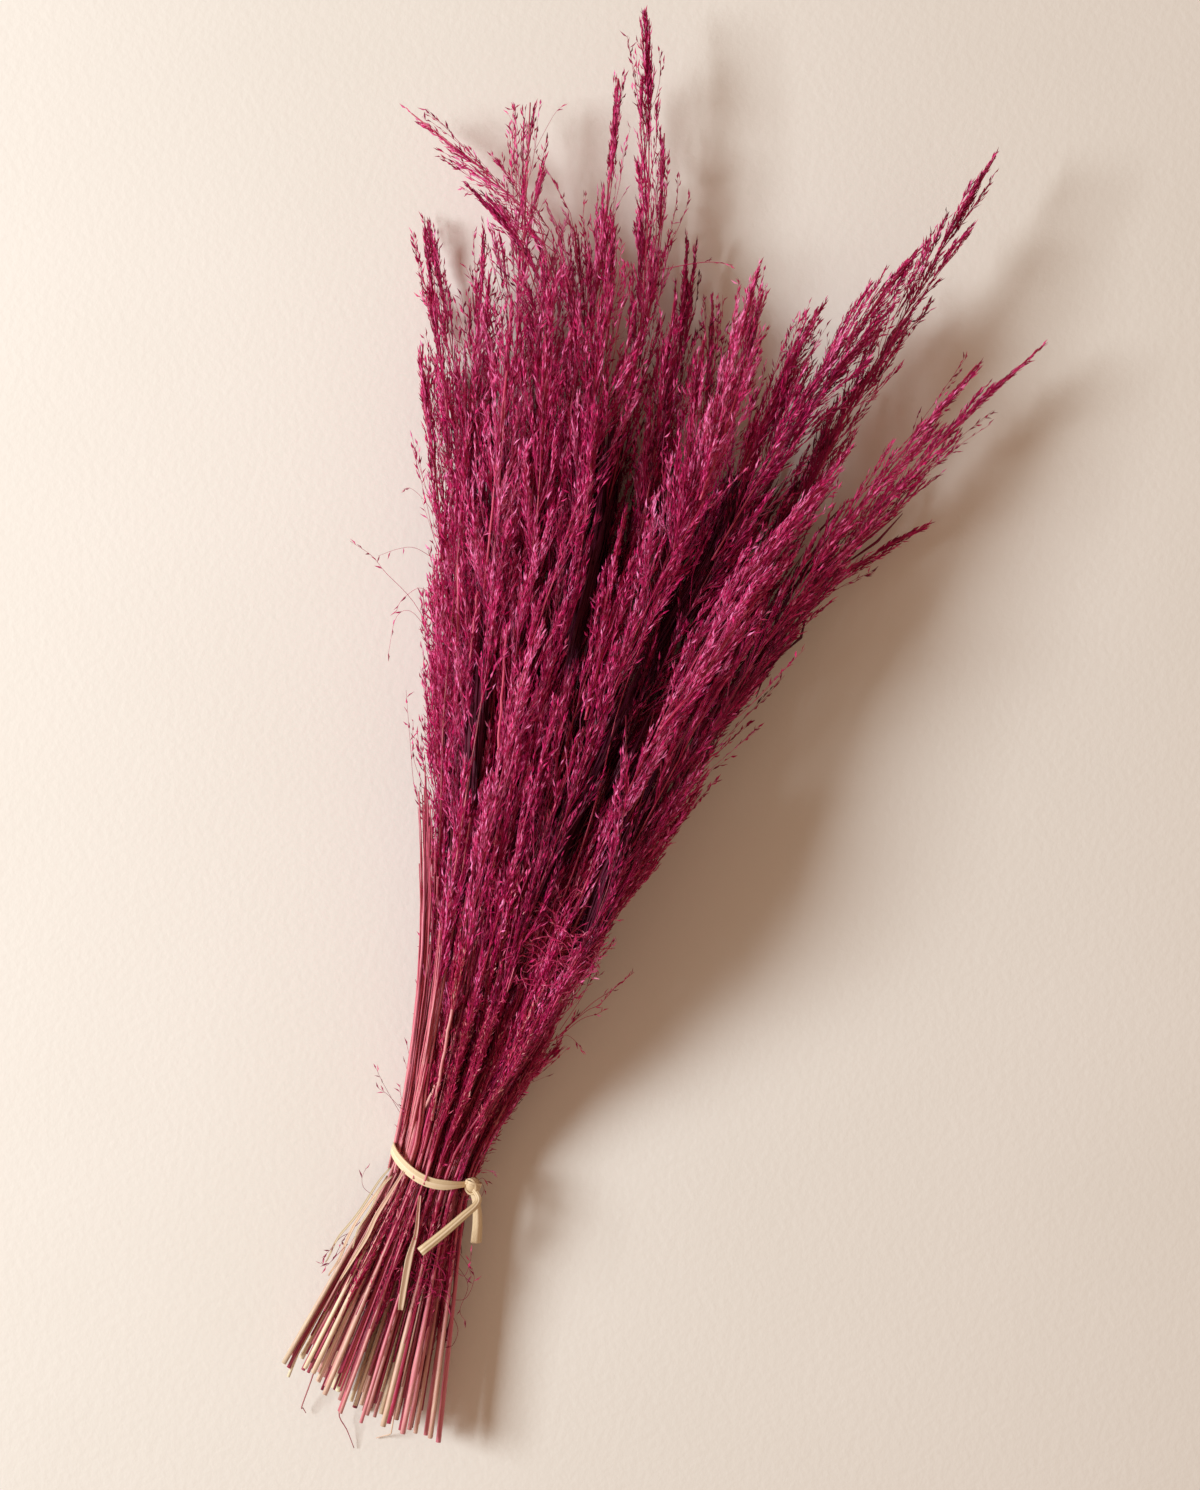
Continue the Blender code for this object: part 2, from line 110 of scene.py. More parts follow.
# A head is made of tufts, each a side branch with twigs round it, and the twigs carry the spikelets
SPIKELET_LENGTH = (0.0032, 0.0052)
SPIKELET_RADIUS = (0.00028, 0.00044)
SPIKELET_BELLY = 0.42
SPIKELET_SPACING = 0.00155
SPIKELET_TINT_SPREAD = 0.28
BRANCH_SPACING = 0.0026
TWIG_RADIUS = 0.00015
TWIG_SIDES = 3
BRANCH_TAPER = (1.7, 0.7)
TWIGS_PER_TUFT = 7
TUFT_LENGTH = (0.028, 0.055)
TUFT_WIDTH = (0.0024, 0.0040)
TUFT_POINTS = 5
TUFTS_PER_AREA = 1.02e4
HEAD_SAMPLES = 200
LEAST_TUFTS = 6
TIP_TUFTS = np.array([0.000, 0.004, 0.010, 0.018])
TIP_LENGTH = 0.065
HEAD_REACH = 0.0095
HEAD_ONSET = 0.12
LONG_SPRAY = 0.4
LEAST_REACH = 0.0018

# A head is thinned, and darkened with painted shade, where other heads hide it on its most open side, and in
# the hollows. This is judged at one point of each side branch, by how many heads hide it. Branches far out
# are paler, as painted light.
VIEW_ANGLES = [math.radians(angle) for angle in (0.0, 45.0, 90.0, 135.0, 180.0)]
HIDES_AHEAD = 0.35
HIDES_BESIDE = 0.9
HIDES_FROM = 0.003
KEPT_BY_COVER = np.array([1.0, 0.45, 0.14, 0.08])
KEPT_IN_HOLLOW = 0.20
LEFT_OUT_FROM = 0.35
SEEN_POINT = 3
OPEN_TIP_LENGTH = 0.06
TUFT_TINT_SPREAD = 0.12
OUTER_PAINTED_LIGHT = 16.0
OUTER_FROM = 0.007
COVER_PAINTED_SHADE = 0.24
HOLLOW_PAINTED_SHADE = 0.7
LEAST_TUFT_TINT = 0.24
LEAST_SPIKELET_TINT = 0.20

# Long sparse strands beyond a head, more of them on a loose one
LEAST_STRANDS = 6
LOOSE_STRANDS = 20
STRAND_LENGTH = (0.030, 0.065)
STRAND_BEYOND = (0.0015, 0.0065)
STRAND_TAPER = (1.3, 0.5)
STRAND_TWIGS = 3
STRAND_WIDTH = (0.003, 0.005)
STRAND_TWIG_SPACING = 0.0042
STRAND_SPACING = 0.0046
STOUT = 1.3

# Sprays, by number, that are looser, fuller, thinner or denser, or of another tone than the others. The tones
# are partly painted shade, lower for heads that lie in shade
DEFAULT_LOOSE, DEFAULT_FULL, DEFAULT_DENSITY, DEFAULT_TONE = 0.3, 1.1, 1.0, 0.43
LOOSE = {1: 2.4, 2: 2.2, 3: 1.2, 5: 1.8, 6: 1.4, 7: 1.8, 8: 1.6, 9: 1.6, 10: 0.8, 12: 1.6, 13: 2.0, 15: 0.9,
         25: 1.4, 26: 1.6, 27: 1.4, 29: 0.8, 30: 0.8, 35: 2.0}
FULL = {1: 1.5, 2: 2.3, 3: 1.6, 4: 0.5, 5: 1.2, 7: 1.5, 8: 1.9, 9: 1.5, 10: 0.7, 11: 0.55, 12: 1.9, 13: 0.9,
        14: 0.8, 15: 0.9, 18: 0.8, 19: 0.9, 25: 1.6, 26: 1.8, 27: 1.7, 28: 0.7, 29: 0.8, 30: 1.1, 31: 1.1,
        32: 0.5, 33: 0.8, 34: 0.8, 35: 1.1, 47: 0.7}
DENSITY = {1: 0.50, 2: 0.9, 3: 1.3, 6: 0.9, 7: 1.15, 8: 1.4, 9: 1.35, 11: 1.3, 12: 1.35, 13: 0.6, 14: 1.4,
           25: 1.45, 26: 1.5, 27: 1.7, 28: 1.3, 29: 1.35, 30: 1.3, 31: 1.2, 35: 0.6}
TONE_AND_PAINTED_SHADE = {1: 0.56, 2: 0.50, 3: 0.40, 4: 0.36, 7: 0.50, 9: 0.46, 14: 0.28, 15: 0.28, 16: 0.50, 19: 0.50,
        25: 0.52, 26: 0.30, 27: 0.28, 28: 0.34, 29: 0.28, 30: 0.38, 31: 0.34, 32: 0.36, 33: 0.58, 35: 0.30,
        36: 0.50, 38: 0.54}
TONE_SPREAD = 0.06

# The dye at a cut end rises with the stem's share of the width, read above the tie. It rises also with the
# stem's depth in the pile, read near its foot, and a buried stem has a lower tint: both are painted shade
# that darkens the stems deep in the pile.
SHARE_ABOVE = 0.03
BURIED_AT = 0.03
BURIED_FROM = 0.002
BURIED_DEPTH = 0.008
FOOT_DYE = 0.04
DYE_BY_SHARE = 0.46
DEPTH_PAINTED_SHADE_DYE = 0.60
DYE_SPREAD = 0.24
UPPER_DYE = 0.58
STEM_TINT = 0.57
STEM_TINT_SPREAD = 0.13
DEPTH_PAINTED_SHADE = 0.38
STEM_TINT_RANGE = (0.05, 0.74)

# The least dye in a stem, by its spray's number, where chance would leave it too pale
DYED_STEMS = {44: 0.62}

# Dark hollows between the heads, where heads are thinned and painted darker as painted shade: half width in
# pixels, depth from 0 to 1 and pixels along the middle
HOLLOWS = [
    (15, 1.00, [(752, 480), (700, 580), (668, 635), (632, 715), (612, 760), (572, 828), (550, 870)]),
    (36, 0.45, [(720, 510), (650, 620), (610, 730), (550, 860)]),
    (8, 0.90, [(610, 465), (602, 540), (586, 600), (576, 640)]),
    (20, 0.35, [(604, 380), (610, 470), (585, 600)]),
    (11, 0.85, [(642, 805), (612, 870), (590, 935)]),
    (24, 0.40, [(650, 800), (592, 935)]),
    (22, 0.45, [(815, 570), (775, 650), (690, 765)]),
    (9, 0.75, [(482, 670), (474, 770)]),
    (26, 0.35, [(840, 380), (770, 460)]),
    (13, 0.50, [(505, 1075), (470, 1150)]),
    (13, 0.45, [(545, 865), (505, 975)])]

# The raffia strip, as the solids have it: its inner half axes, its middle height and its flat foot
TIE_HALF = (0.0213, 0.0167)
TIE_MIDDLE = 0.018
TIE_WIDTH = 0.0052
TIE_THICKNESS = 0.0013
TIE_FLAT = 0.016
TIE_TURN_UP = 1.25
TIE_SLANT = -0.10
TIE_STEPS = 64

# On top the strip sags and widens a little between the sides of the neck, and beside the knot it narrows
TIE_SAG = 0.0060
SAG_MIDDLE = -0.003
SAG_WIDTH = 0.041
SAG_ABOVE = 0.016
SAG_RISE = 0.012
TIE_NARROWED = 0.84
WIDER_IN_SAG = 0.10
NARROWER_AT_KNOT = 0.32

# The knot: a bulging core with two rings of strip round it, by their half axes, width and shift
KNOT_ANGLE = math.radians(38.0)
KNOT_LIFT = 0.0024
KNOT_LENGTH = 0.0068
KNOT_BULGE = np.array([0.0008, 0.0020, 0.0027, 0.0030, 0.0031, 0.0030, 0.0027, 0.0020, 0.0008])
KNOT_RINGS = [(0.0036, 0.0034, 0.0030, -0.0004), (0.0040, 0.0032, 0.0022, 0.0012)]
KNOT_STRIP = 0.0009
KNOT_SIDES = 10
KNOT_STEPS = 22
KNOT_TINT, RING_TINT, TAIL_TINT = 0.40, 0.46, 0.52
KNOT_DYE = 0.3

# How many lengthwise lines show the fibres across each kind of flat strip
TIE_FIBRES, KNOT_FIBRES, TAIL_FIBRES, BLADE_FIBRES, STRIP_FIBRES = 11, 6, 9, 7, 5

# The two tails: points from the tie's middle, the way they face, widths from knot to end, and fold
TAIL_THICKNESS = 0.0007
TAIL_STEPS = 30
TAILS = [
    ([(0.0175, -0.002, 0.0318), (0.0215, -0.0035, 0.0335), (0.0243, -0.0062, 0.0350),
      (0.0238, -0.0095, 0.0364), (0.0203, -0.0150, 0.0385), (0.0138, -0.0253, 0.0412),
      (0.0060, -0.0370, 0.0430)],
     (0.10, 0.0, 1.0), (0.0022, 0.0028, 0.0034, 0.0045), -0.0006),
    ([(0.0192, -0.003, 0.0285), (0.0240, -0.009, 0.0285), (0.0275, -0.018, 0.0262),
      (0.0300, -0.028, 0.0245)],
     (0.35, 0.0, 1.0), (0.0026, 0.0034, 0.0044, 0.0054), -0.0013)]

# How far a plume between the main ones reaches along its length, as a share of its full reach
EXTRA_REACH_AT = np.array([0.0, 0.25, 0.55, 0.85, 1.0])
EXTRA_REACH = np.array([0.4, 0.8, 1.0, 0.65, 0.15])
EXTRA_DENSITY = 1.15
EXTRA_STRANDS = 10
EXTRA_STEPS = 26
EXTRA_RADIUS = (0.0006, 0.00025)

# These plumes: full reach, tone, least height and pixels from the base to the tip. The tone is partly painted
# shade, lower for plumes among the darker heads
EXTRA_PLUMES = [
    (0.006, 0.50, 0.040, [(443, 560), (436, 480), (425, 410), (420, 345)]),
    (0.008, 0.52, 0.055, [(700, 500), (722, 440), (738, 390), (752, 340), (764, 290)]),
    (0.008, 0.32, 0.038, [(640, 540), (655, 450), (665, 370), (674, 300)]),
    (0.008, 0.44, 0.042, [(562, 480), (572, 400), (577, 330), (566, 268)]),
    (0.006, 0.56, 0.035, [(497, 1010), (505, 940), (512, 870)]),
    (0.008, 0.50, 0.060, [(585, 720), (606, 640), (630, 575), (656, 530)]),
    (0.007, 0.54, 0.060, [(660, 730), (700, 680), (748, 610), (796, 556)]),
    (0.005, 0.50, 0.020, [(515, 1090), (540, 1065), (562, 1040)]),
    (0.010, 0.30, 0.048, [(712, 560), (757, 484), (800, 418), (845, 362), (880, 316)]),
    (0.007, 0.32, 0.050, [(738, 480), (768, 412), (796, 352), (823, 303)]),
    (0.003, 0.38, 0.040, [(448, 420), (440, 350), (431, 290), (424, 232)]),
    (0.006, 0.44, 0.042, [(590, 470), (594, 400), (597, 340), (599, 296)]),
    (0.007, 0.32, 0.057, [(674, 550), (687, 465), (696, 395), (703, 340)])]

# Bare straws on top: two end pixels, radius, dye and lift
STRAW_STEPS = 12
STRAW_STRAY = 0.0002
STRAW_TINT = 0.66
STRAW_SIDES = 5
STRAWS = [
    ((569, 990), (490, 1084), 0.0007, 0.45, 0.0006), ((507, 371), (484, 590), 0.0006, 0.95, -0.001),
    ((458, 565), (457, 735), 0.0006, 0.85, -0.001), ((478, 590), (470, 662), 0.0006, 0.9, -0.0005),
    ((507, 626), (497, 759), 0.0006, 0.9, -0.0005), ((436, 1085), (404, 1150), 0.0008, 0.42, 0.0004),
    ((452, 1010), (432, 1120), 0.0007, 0.48, 0.0004)]

# Frizzy tangles of curling threads: how many, pixels of the middle and half sizes of the patch, step length,
# tint and dye
CURL_STEPS = 9
CURL_RADIUS = 0.00022
CURL_SPACING = 0.0034
TANGLES = [
    (75, (552, 957), (23, 28), 0.0032, 0.56, 0.85),
    (70, (424, 1278), (7, 22), 0.0017, 0.26, 0.80)]

# The dry leaf blades: thickness, folds, widths and dyes, and the ways they face
BLADE_THICKNESS = 0.0004
BLADE_FOLD = 0.0005
STRIP_FOLD = 0.0004
SHEATH_WIDTH = 0.0021
FRONT_WIDTHS = ([0.0, 0.35, 0.6, 0.93, 1.0], [0.0013, 0.0019, 0.0034, 0.0030, 0.0024])
FRONT_DYES = ([0.0, 0.3, 0.5], [0.95, 0.80, 0.50])
FRONT_FACING, SHEATH_FACING, STRIP_FACING = [[(x, 0.0, 1.0)] for x in (0.25, -0.35, -0.5)]

# Withered strips of the sheath that stands off the left edge: pixels, heights, width and dye
SHEATH_STRIPS = [
    ([(391, 1168), (372, 1192), (351, 1222), (336, 1243), (325, 1262)],
     (0.0265, 0.0250, 0.0220, 0.0190, 0.0170), 0.0011, 0.22),
    ([(388, 1176), (366, 1207), (349, 1238), (337, 1262), (330, 1276)],
     (0.0250, 0.0240, 0.0200, 0.0165, 0.0140), 0.0014, 0.50),
    ([(392, 1176), (376, 1198), (362, 1224), (352, 1248)],
     (0.0275, 0.0275, 0.0250, 0.0220), 0.0010, 0.30)]

# Loose threads: pixels from root to tip, radius and spacing of the spikelets. The first tint is for those
# that start in the heads, the second for those below.
THREAD_TINT = (0.42, 0.24)
THREAD_DYE = 0.9
THREAD_STEPS = 18
THREAD_RISE = (-0.0015, 0.0020)
HEADS_ABOVE = 0.06
THREADS = [
    ([(436, 640), (412, 600), (385, 572), (372, 556), (350, 541)], 0.00016, 0.006),
    ([(436, 560), (415, 548), (398, 549), (378, 556)], 0.00014, 0.005),
    ([(434, 640), (412, 612), (396, 618), (388, 656)], 0.00014, 0.006),
    ([(436, 600), (420, 588), (402, 600), (396, 612)], 0.00014, 0.005),
    ([(438, 520), (424, 500), (410, 488), (402, 491)], 0.00012, 0.009),
    ([(430, 830), (415, 790), (410, 740), (406, 690)], 0.00014, 0.004),
    ([(430, 800), (414, 760), (413, 720)], 0.00014, 0.0035),
    ([(404, 1120), (384, 1085), (375, 1066)], 0.00014, 0.004),
    ([(402, 1110), (388, 1095), (378, 1088)], 0.00014, 0.003),
    ([(560, 1035), (590, 1005), (612, 990), (634, 972)], 0.00022, 0.003),
    ([(556, 1038), (585, 1012), (600, 1004), (618, 984)], 0.00020, 0.003),
    ([(556, 1040), (580, 1020), (597, 1014), (604, 1010)], 0.00020, 0.003),
    ([(545, 1045), (565, 1035), (578, 1044), (582, 1052)], 0.00016, 0.003),
    ([(560, 1030), (580, 1000), (590, 982), (600, 975)], 0.00018, 0.003),
    ([(660, 270), (690, 264), (712, 262), (733, 265)], 0.00025, 0.003),
    ([(535, 150), (548, 125), (556, 112), (565, 104)], 0.00012, 0.012),
    ([(455, 1262), (468, 1285), (460, 1310), (466, 1322)], 0.00016, 0.006),
    ([(448, 1240), (466, 1262), (472, 1278)], 0.00014, 0.006),
    ([(470, 1190), (480, 1182), (484, 1190), (478, 1203)], 0.00016, 0.004),
    ([(472, 1186), (482, 1178), (488, 1184)], 0.00016, 0.003),
    ([(470, 1165), (482, 1158), (490, 1150)], 0.00016, 0.0025),
    ([(472, 1172), (486, 1170), (495, 1174)], 0.00016, 0.0025),
    ([(452, 1268), (464, 1276), (470, 1262), (471, 1252)], 0.00018, 0.0025),
    ([(452, 1300), (466, 1298), (474, 1280), (472, 1268)], 0.00018, 0.0025),
    ([(450, 1310), (458, 1330), (452, 1346), (447, 1340)], 0.00018, 0.005),
    ([(374, 1196), (364, 1188), (362, 1178), (366, 1168)], 0.00014, 0.004),
    ([(352, 1232), (340, 1238), (330, 1250), (322, 1258)], 0.00016, 0.0025),
    ([(348, 1244), (336, 1256), (326, 1266), (321, 1262)], 0.00016, 0.0025),
    ([(360, 1222), (346, 1236), (334, 1258)], 0.00018, 0.0022)]

# Short threads on the two edges, which reach furthest up the left one
EDGE_THREADS = 150
EDGE_LENGTH = (0.006, 0.015)
EDGE_SPAN = (0.004, 0.34)
EDGE_RADIUS = (0.00016, 0.0001)
EDGE_SPACING = 0.0036

# Bare wisps that hang out of the cut ends: pixels, heights, tint and dye
WISP_RADIUS = (0.0004, 0.00022)
WISPS = [
    ([(356, 1350), (345, 1392), (339, 1414), (347, 1430), (354, 1448)], (0.012, 0.010, 0.007, 0.004, 0.0015),
     0.24, 0.60),
    ([(326, 1335), (312, 1378), (302, 1406), (303, 1408), (306, 1413)], (0.012, 0.009, 0.005, 0.004, 0.003),
     0.24, 0.50),
    ([(398, 1390), (392, 1428), (390, 1434), (383, 1436), (376, 1438)], (0.010, 0.007, 0.004, 0.002, 0.001),
     0.45, 0.10)]

# Fuzz round the stems below the tie and on the neck, painted darker the deeper it lies, as painted shade
LOW_FUZZ = 520
LOW_FUZZ_LENGTH = (0.020, 0.055)
LOW_FUZZ_FOOT = 0.005
LOW_FUZZ_END = 0.112
LOW_FUZZ_STEPS = 10
LOW_FUZZ_RADIUS = (0.00034, 0.00020)
LOW_FUZZ_STRAY = 0.0007
LOW_FUZZ_TWIGS = 6
LOW_FUZZ_WIDTH = 0.0019
LOW_FUZZ_SPACING = 0.0022
LOW_FUZZ_DYE = 0.7

# Dark strands inside the bunch, which end clear of its surface, and in its deepest hollows; they are tinted
# near black as painted shade
INNER_STRANDS = 3500
INNER_START = -0.075
INNER_SPAN = 0.425
INNER_REACH = (0.025, 0.05)
INNER_RADIUS = (0.0005, 0.0009)
INNER_CLEAR = 0.002
HOLLOW_STRANDS = 1100
HOLLOW_FROM = 0.7
HOLLOW_REACH_PX = (30.0, 48.0)
HOLLOW_SINK = (0.010, 0.026)

# Short fine heads low in the bunch
LOWER_HEADS = 56
LOWER_HEAD_START = -0.012
LOWER_HEAD_SPAN = 0.15
LOWER_HEAD_LENGTH = (0.05, 0.11)
LOWER_HEAD_REACH = [0.0020, 0.0030, 0.0034, 0.0010]
LOWER_HEAD_DENSITY = 0.85
LOWER_HEAD_SIZE = 0.8

# Thinner stems between and on the main ones, with their lengths below and above the tie. Every third one
# between them is pale;
# the others are dyed deep and tinted dark, partly as painted shade in the gaps between the main stems. Every
# second one on the surface is bare, and they start sunk, under the tie.
FILLER_STEMS = 130
FILLER_BELOW = (0.070, 0.118)
FILLER_ABOVE = (0.08, 0.30)
FILLER_RADIUS = (0.00045, 0.00095)
FILLER_STRAY = 0.0007
PALE_DYES, DARK_DYES = (0.0, 0.5), (0.75, 1.0)
PALE_TINT, DARK_PAINTED_SHADE_TINT = 0.52, 0.28
PALEST_FILLER = 0.65
FILLER_TINT_SPREAD = 0.12
SURFACE_STEMS = 190
SURFACE_BELOW = (0.004, 0.009)
SURFACE_ABOVE = (0.04, 0.12)
SURFACE_RADIUS = (0.00030, 0.00068)
SURFACE_STRAY = 0.00025
SURFACE_SINK = (0.0004, 0.0024)
SURFACE_TINT = 0.58
SURFACE_TINT_SPREAD = 0.28
BARE_DYES, COVERED_DYES = (0.45, 0.70), (0.6, 1.0)
DYE_GAIN = 0.20
BARE_SHARES = (-0.03, 0.25)
COVERED_SHARES = (0.15, 1.0)
BARE_REACH = 0.16
UNDER_TIE = 0.0018 * np.array([1.2, 1.1, 0.9, 0.6, 0.3])
THIN_SIDES = 4

# The material numbers on a piece of grass
STEM, PLUME = 0, 1


def smooth(t):
    """An even rise from 0 at 0 to 1 at 1."""
    t = np.clip(t, 0.0, 1.0)
    return t * t * (3.0 - 2.0 * t)


def unit(vectors):
    """The vectors at length one."""
    return vectors / np.maximum(np.linalg.norm(vectors, axis=-1, keepdims=True), 1e-9)


class Shape:
    """Triangles gathered for one piece, with their points' tints and dyes and their material numbers."""

    def __init__(self):
        self.points, self.faces, self.tints, self.dyes, self.slots, self.flats = [], [], [], [], [], []
        self.count = 0

    def add(self, points, faces, tint, dye, slot, flat=False):
        """Gather some triangles, with tints and dyes by point and one material number."""
        points = np.asarray(points, float).reshape(-1, 3)
        faces = np.asarray(faces, int).reshape(-1, 3)
        self.points.append(points)
        self.faces.append(faces + self.count)
        self.tints.append(np.broadcast_to(np.asarray(tint, float).ravel(), len(points)).copy())
        self.dyes.append(np.broadcast_to(np.asarray(dye, float).ravel(), len(points)).copy())
        self.slots.append(np.full(len(faces), slot))
        self.flats.append(np.full(len(faces), flat))
        self.count += len(points)

    def build(self, name, materials):
        """The gathered triangles as one named object that moves with the bundle."""
        points = np.concatenate(self.points)
        points[:, 2] = np.clip(points[:, 2], LOWEST, HIGHEST)
        faces = np.concatenate(self.faces)
        mesh = bpy.data.meshes.new(name)
        mesh.vertices.add(len(points))
        mesh.vertices.foreach_set("co", points.astype(np.float32).ravel())
        mesh.loops.add(faces.size)
        mesh.loops.foreach_set("vertex_index", faces.astype(np.int32).ravel())
        mesh.polygons.add(len(faces))
        mesh.polygons.foreach_set("loop_start", np.arange(0, faces.size, 3, dtype=np.int32))
        mesh.polygons.foreach_set("material_index", np.concatenate(self.slots).astype(np.int32))
        mesh.polygons.foreach_set("use_smooth", ~np.concatenate(self.flats))
        mesh.update(calc_edges=True)
        for label, values in (("tint", self.tints), ("dye", self.dyes)):
            layer = mesh.attributes.new(label, "FLOAT", "POINT")
            layer.data.foreach_set("value", np.concatenate(values).astype(np.float32))
        for material in materials:
            mesh.materials.append(material)
        piece = bpy.data.objects.new(name, mesh)
        bpy.context.scene.collection.objects.link(piece)
        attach(piece, "root")
        return piece


def ring_points(paths, radii, sides):
    """Rings of points round the points of one path or of many."""
    along = unit(np.gradient(paths, axis=-2))
    across = unit(np.cross(along, RING_SIDE))
    other = np.cross(along, across)
    angles = np.arange(sides) * math.tau / sides
    ring = across[..., None, :] * np.cos(angles)[:, None] + other[..., None, :] * np.sin(angles)[:, None]
    return paths[..., None, :] + ring * radii[..., None, None]


def side_faces(index, flipped=False):
    """Two triangles for each quad between neighbouring rings, from the numbers of their points."""
    after = np.roll(index, -1, axis=-1)
    a, b, c, d = index[..., :-1, :], after[..., :-1, :], after[..., 1:, :], index[..., 1:, :]
    pairs = ((b, c), (c, d)) if flipped else ((c, b), (d, c))
    return [np.stack([a, *pair], -1).reshape(-1, 3) for pair in pairs]


def tubes(shape, paths, radii, tint, dye):
    """Many open twigs at once: paths is (twigs, points, 3), and radii has one row for each or for all."""
    count, steps = paths.shape[:2]
    index = np.arange(count * steps * TWIG_SIDES).reshape(count, steps, TWIG_SIDES)
    values = []
    for value in (tint, dye):
        value = np.asarray(value, float)
        value = value.reshape(-1, 1) if value.ndim < 2 else value
        values.append(np.broadcast_to(value[:, :, None], index.shape).ravel())
    shape.add(ring_points(paths, radii, TWIG_SIDES), np.concatenate(side_faces(index)), *values, PLUME)


def rod(shape, path, radii, sides, tint, dye):
    """One closed tube along a path, with its ends capped."""
    index = np.arange(len(path) * sides).reshape(-1, sides)
    fan = np.arange(1, sides - 1)
    last = index[-1, 0]
    faces = side_faces(index)
    faces.append(np.stack([np.zeros_like(fan), fan, fan + 1], -1))
    faces.append(np.stack([np.full_like(fan, last), last + fan + 1, last + fan], -1))
    spread = [np.repeat(np.broadcast_to(np.asarray(value, float), len(path)), sides) for value in (tint, dye)]
    rings = ring_points(path, np.broadcast_to(radii, len(path)), sides)
    shape.add(rings, np.concatenate(faces), *spread, STEM)


def spikelets(shape, roots, directions, lengths, radii, tint, dye, draw):
    """Slender pointed florets with four faces, each with its root and its tip at a point."""
    side = unit(np.cross(directions, draw.normal(0.0, 1.0, roots.shape)))
    other = np.cross(directions, side)
    belly = roots + directions * (lengths * SPIKELET_BELLY)[:, None] + other * radii[:, None]
    half = side * radii[:, None]
    points = np.stack([roots, belly + half, belly - half, roots + directions * lengths[:, None]], axis=1)
    faces = SPIKELET_FACES[None] + (np.arange(len(roots)) * 4)[:, None, None]
    shape.add(points, faces, np.repeat(tint, 4), np.repeat(dye, 4), PLUME, flat=True)


class Run:
    """A line through the bundle, with the reach of the head round it, both by the length run so far."""

    def __init__(self, points, reach_at, reach):
        self.points = np.asarray(points, float)
        steps = np.linalg.norm(np.diff(self.points, axis=0), axis=1)
        self.s = np.concatenate([[0.0], np.cumsum(steps)])
        self.length = self.s[-1]
        self.reach_at, self.reach = np.asarray(reach_at, float), np.asarray(reach, float)
        self.headings = unit(np.gradient(self.points, axis=0))

    def at(self, s):
        """The points at the given lengths along the line."""
        return np.stack([np.interp(s, self.s, self.points[:, k]) for k in range(3)], axis=-1)

    def beside(self, y):
        """The x and the z of the line at a place along the bundle."""
        return [np.interp(y, self.points[:, 1], self.points[:, k]) for k in (0, 2)]

    def heading(self, s):
        """The directions of the line at the given lengths."""
        return unit(np.stack([np.interp(s, self.s, self.headings[:, k]) for k in range(3)], axis=-1))

    def radius(self, s):
        """How far the head reaches from the line at the given lengths."""
        return np.interp(s, self.reach_at, self.reach)

    def place(self, s, away, angle):
        """Points at the given distance from the line, round it by the given angle."""
        heading = self.heading(s)
        side = unit(np.cross(heading, UP))
        lift = np.cross(side, heading)
        across, up = away * np.cos(angle), away * np.sin(angle)
        return self.at(s) + side * across[..., None] + lift * up[..., None]


def turned(x, y, turn):
    """A place turned about the origin."""
    cos, sin = math.cos(turn), math.sin(turn)
    return x * cos - y * sin, x * sin + y * cos


def pixel(points):
    """The pixels at which the picture shows the given points."""
    scale = METRES_PER_PX * (CAMERA_HEIGHT - points[..., 2]) / CAMERA_HEIGHT
    across, up = turned(points[..., 0] - EYE[0], points[..., 1] - EYE[1], -PICTURE_TURN)
    return np.stack([PICTURE_WIDTH_PX / 2.0 + across / scale, PICTURE_HEIGHT_PX / 2.0 - up / scale], axis=-1)


def spot(px, py, z):
    """The point at height z that the picture shows at the given pixel."""
    scale = METRES_PER_PX * (CAMERA_HEIGHT - z) / CAMERA_HEIGHT
    x, y = turned((px - PICTURE_WIDTH_PX / 2.0) * scale, (PICTURE_HEIGHT_PX / 2.0 - py) * scale, PICTURE_TURN)
    return (EYE[0] + x, EYE[1] + y, z)


def hollow(points):
    """How far inside the dark hollows between the heads each point lies, from 0 to 1."""
    at = pixel(points)
    depth = np.zeros(len(points))
    for width, deepest, line in HOLLOWS:
        corners = np.array(line, float)
        for first, second in zip(corners[:-1], corners[1:]):
            along = second - first
            share = np.clip((at - first) @ along / (along @ along), 0.0, 1.0)
            away = np.linalg.norm(at - first - share[:, None] * along, axis=1)
            depth = np.maximum(depth, deepest * smooth(1.5 - away / width))
    return depth


def evened(values, window):
    """The values averaged over a window, with their trend carried on past both ends."""
    padded = np.pad(values, window // 2, mode="reflect", reflect_type="odd")
    return np.convolve(padded, np.ones(window) / window, mode="valid")


def spray_run(name):
    """The run of one spray, from its node: the middles of its rings and how far its points stand out."""
    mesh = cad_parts[name].data
    points = np.unique(np.round(np.array([v.co for v in mesh.vertices], float), 6), axis=0)
    points = points[np.argsort(points[:, 1])]
    levels = np.round(points[:, 1], 5)
    centres, used = [], np.zeros(len(points), bool)
    for level in np.unique(levels):
        same = levels == level
        if same.sum() in RING_SIZES:
            centres.append(points[same].mean(axis=0))
            used |= same
    centres.append(points[-1])
    used[-1] = True
    xs, ends, zs = np.array(centres).T
    ys = np.append(np.arange(ends[0], ends[-1] - 0.001, RUN_STEP), ends[-1])
    line = [evened(np.interp(ys, ends, values), 5) for values in (xs, zs)]
    line = np.stack([line[0], ys, line[1]], -1)
    gaps = np.linalg.norm(points[~used][:, None] - line[None], axis=2)
    run = Run(line, [0.0], [0.0])
    places, away = run.s[gaps.argmin(axis=1)], gaps.min(axis=1)
    run.head_start = places.min()
    run.reach_at = np.arange(run.head_start - REACH_LEAD, run.length + 0.001, REACH_STEP)
    run.reach = np.array([away[abs(places - s) < REACH_STEP].max(initial=0.0) for s in run.reach_at])
    return run


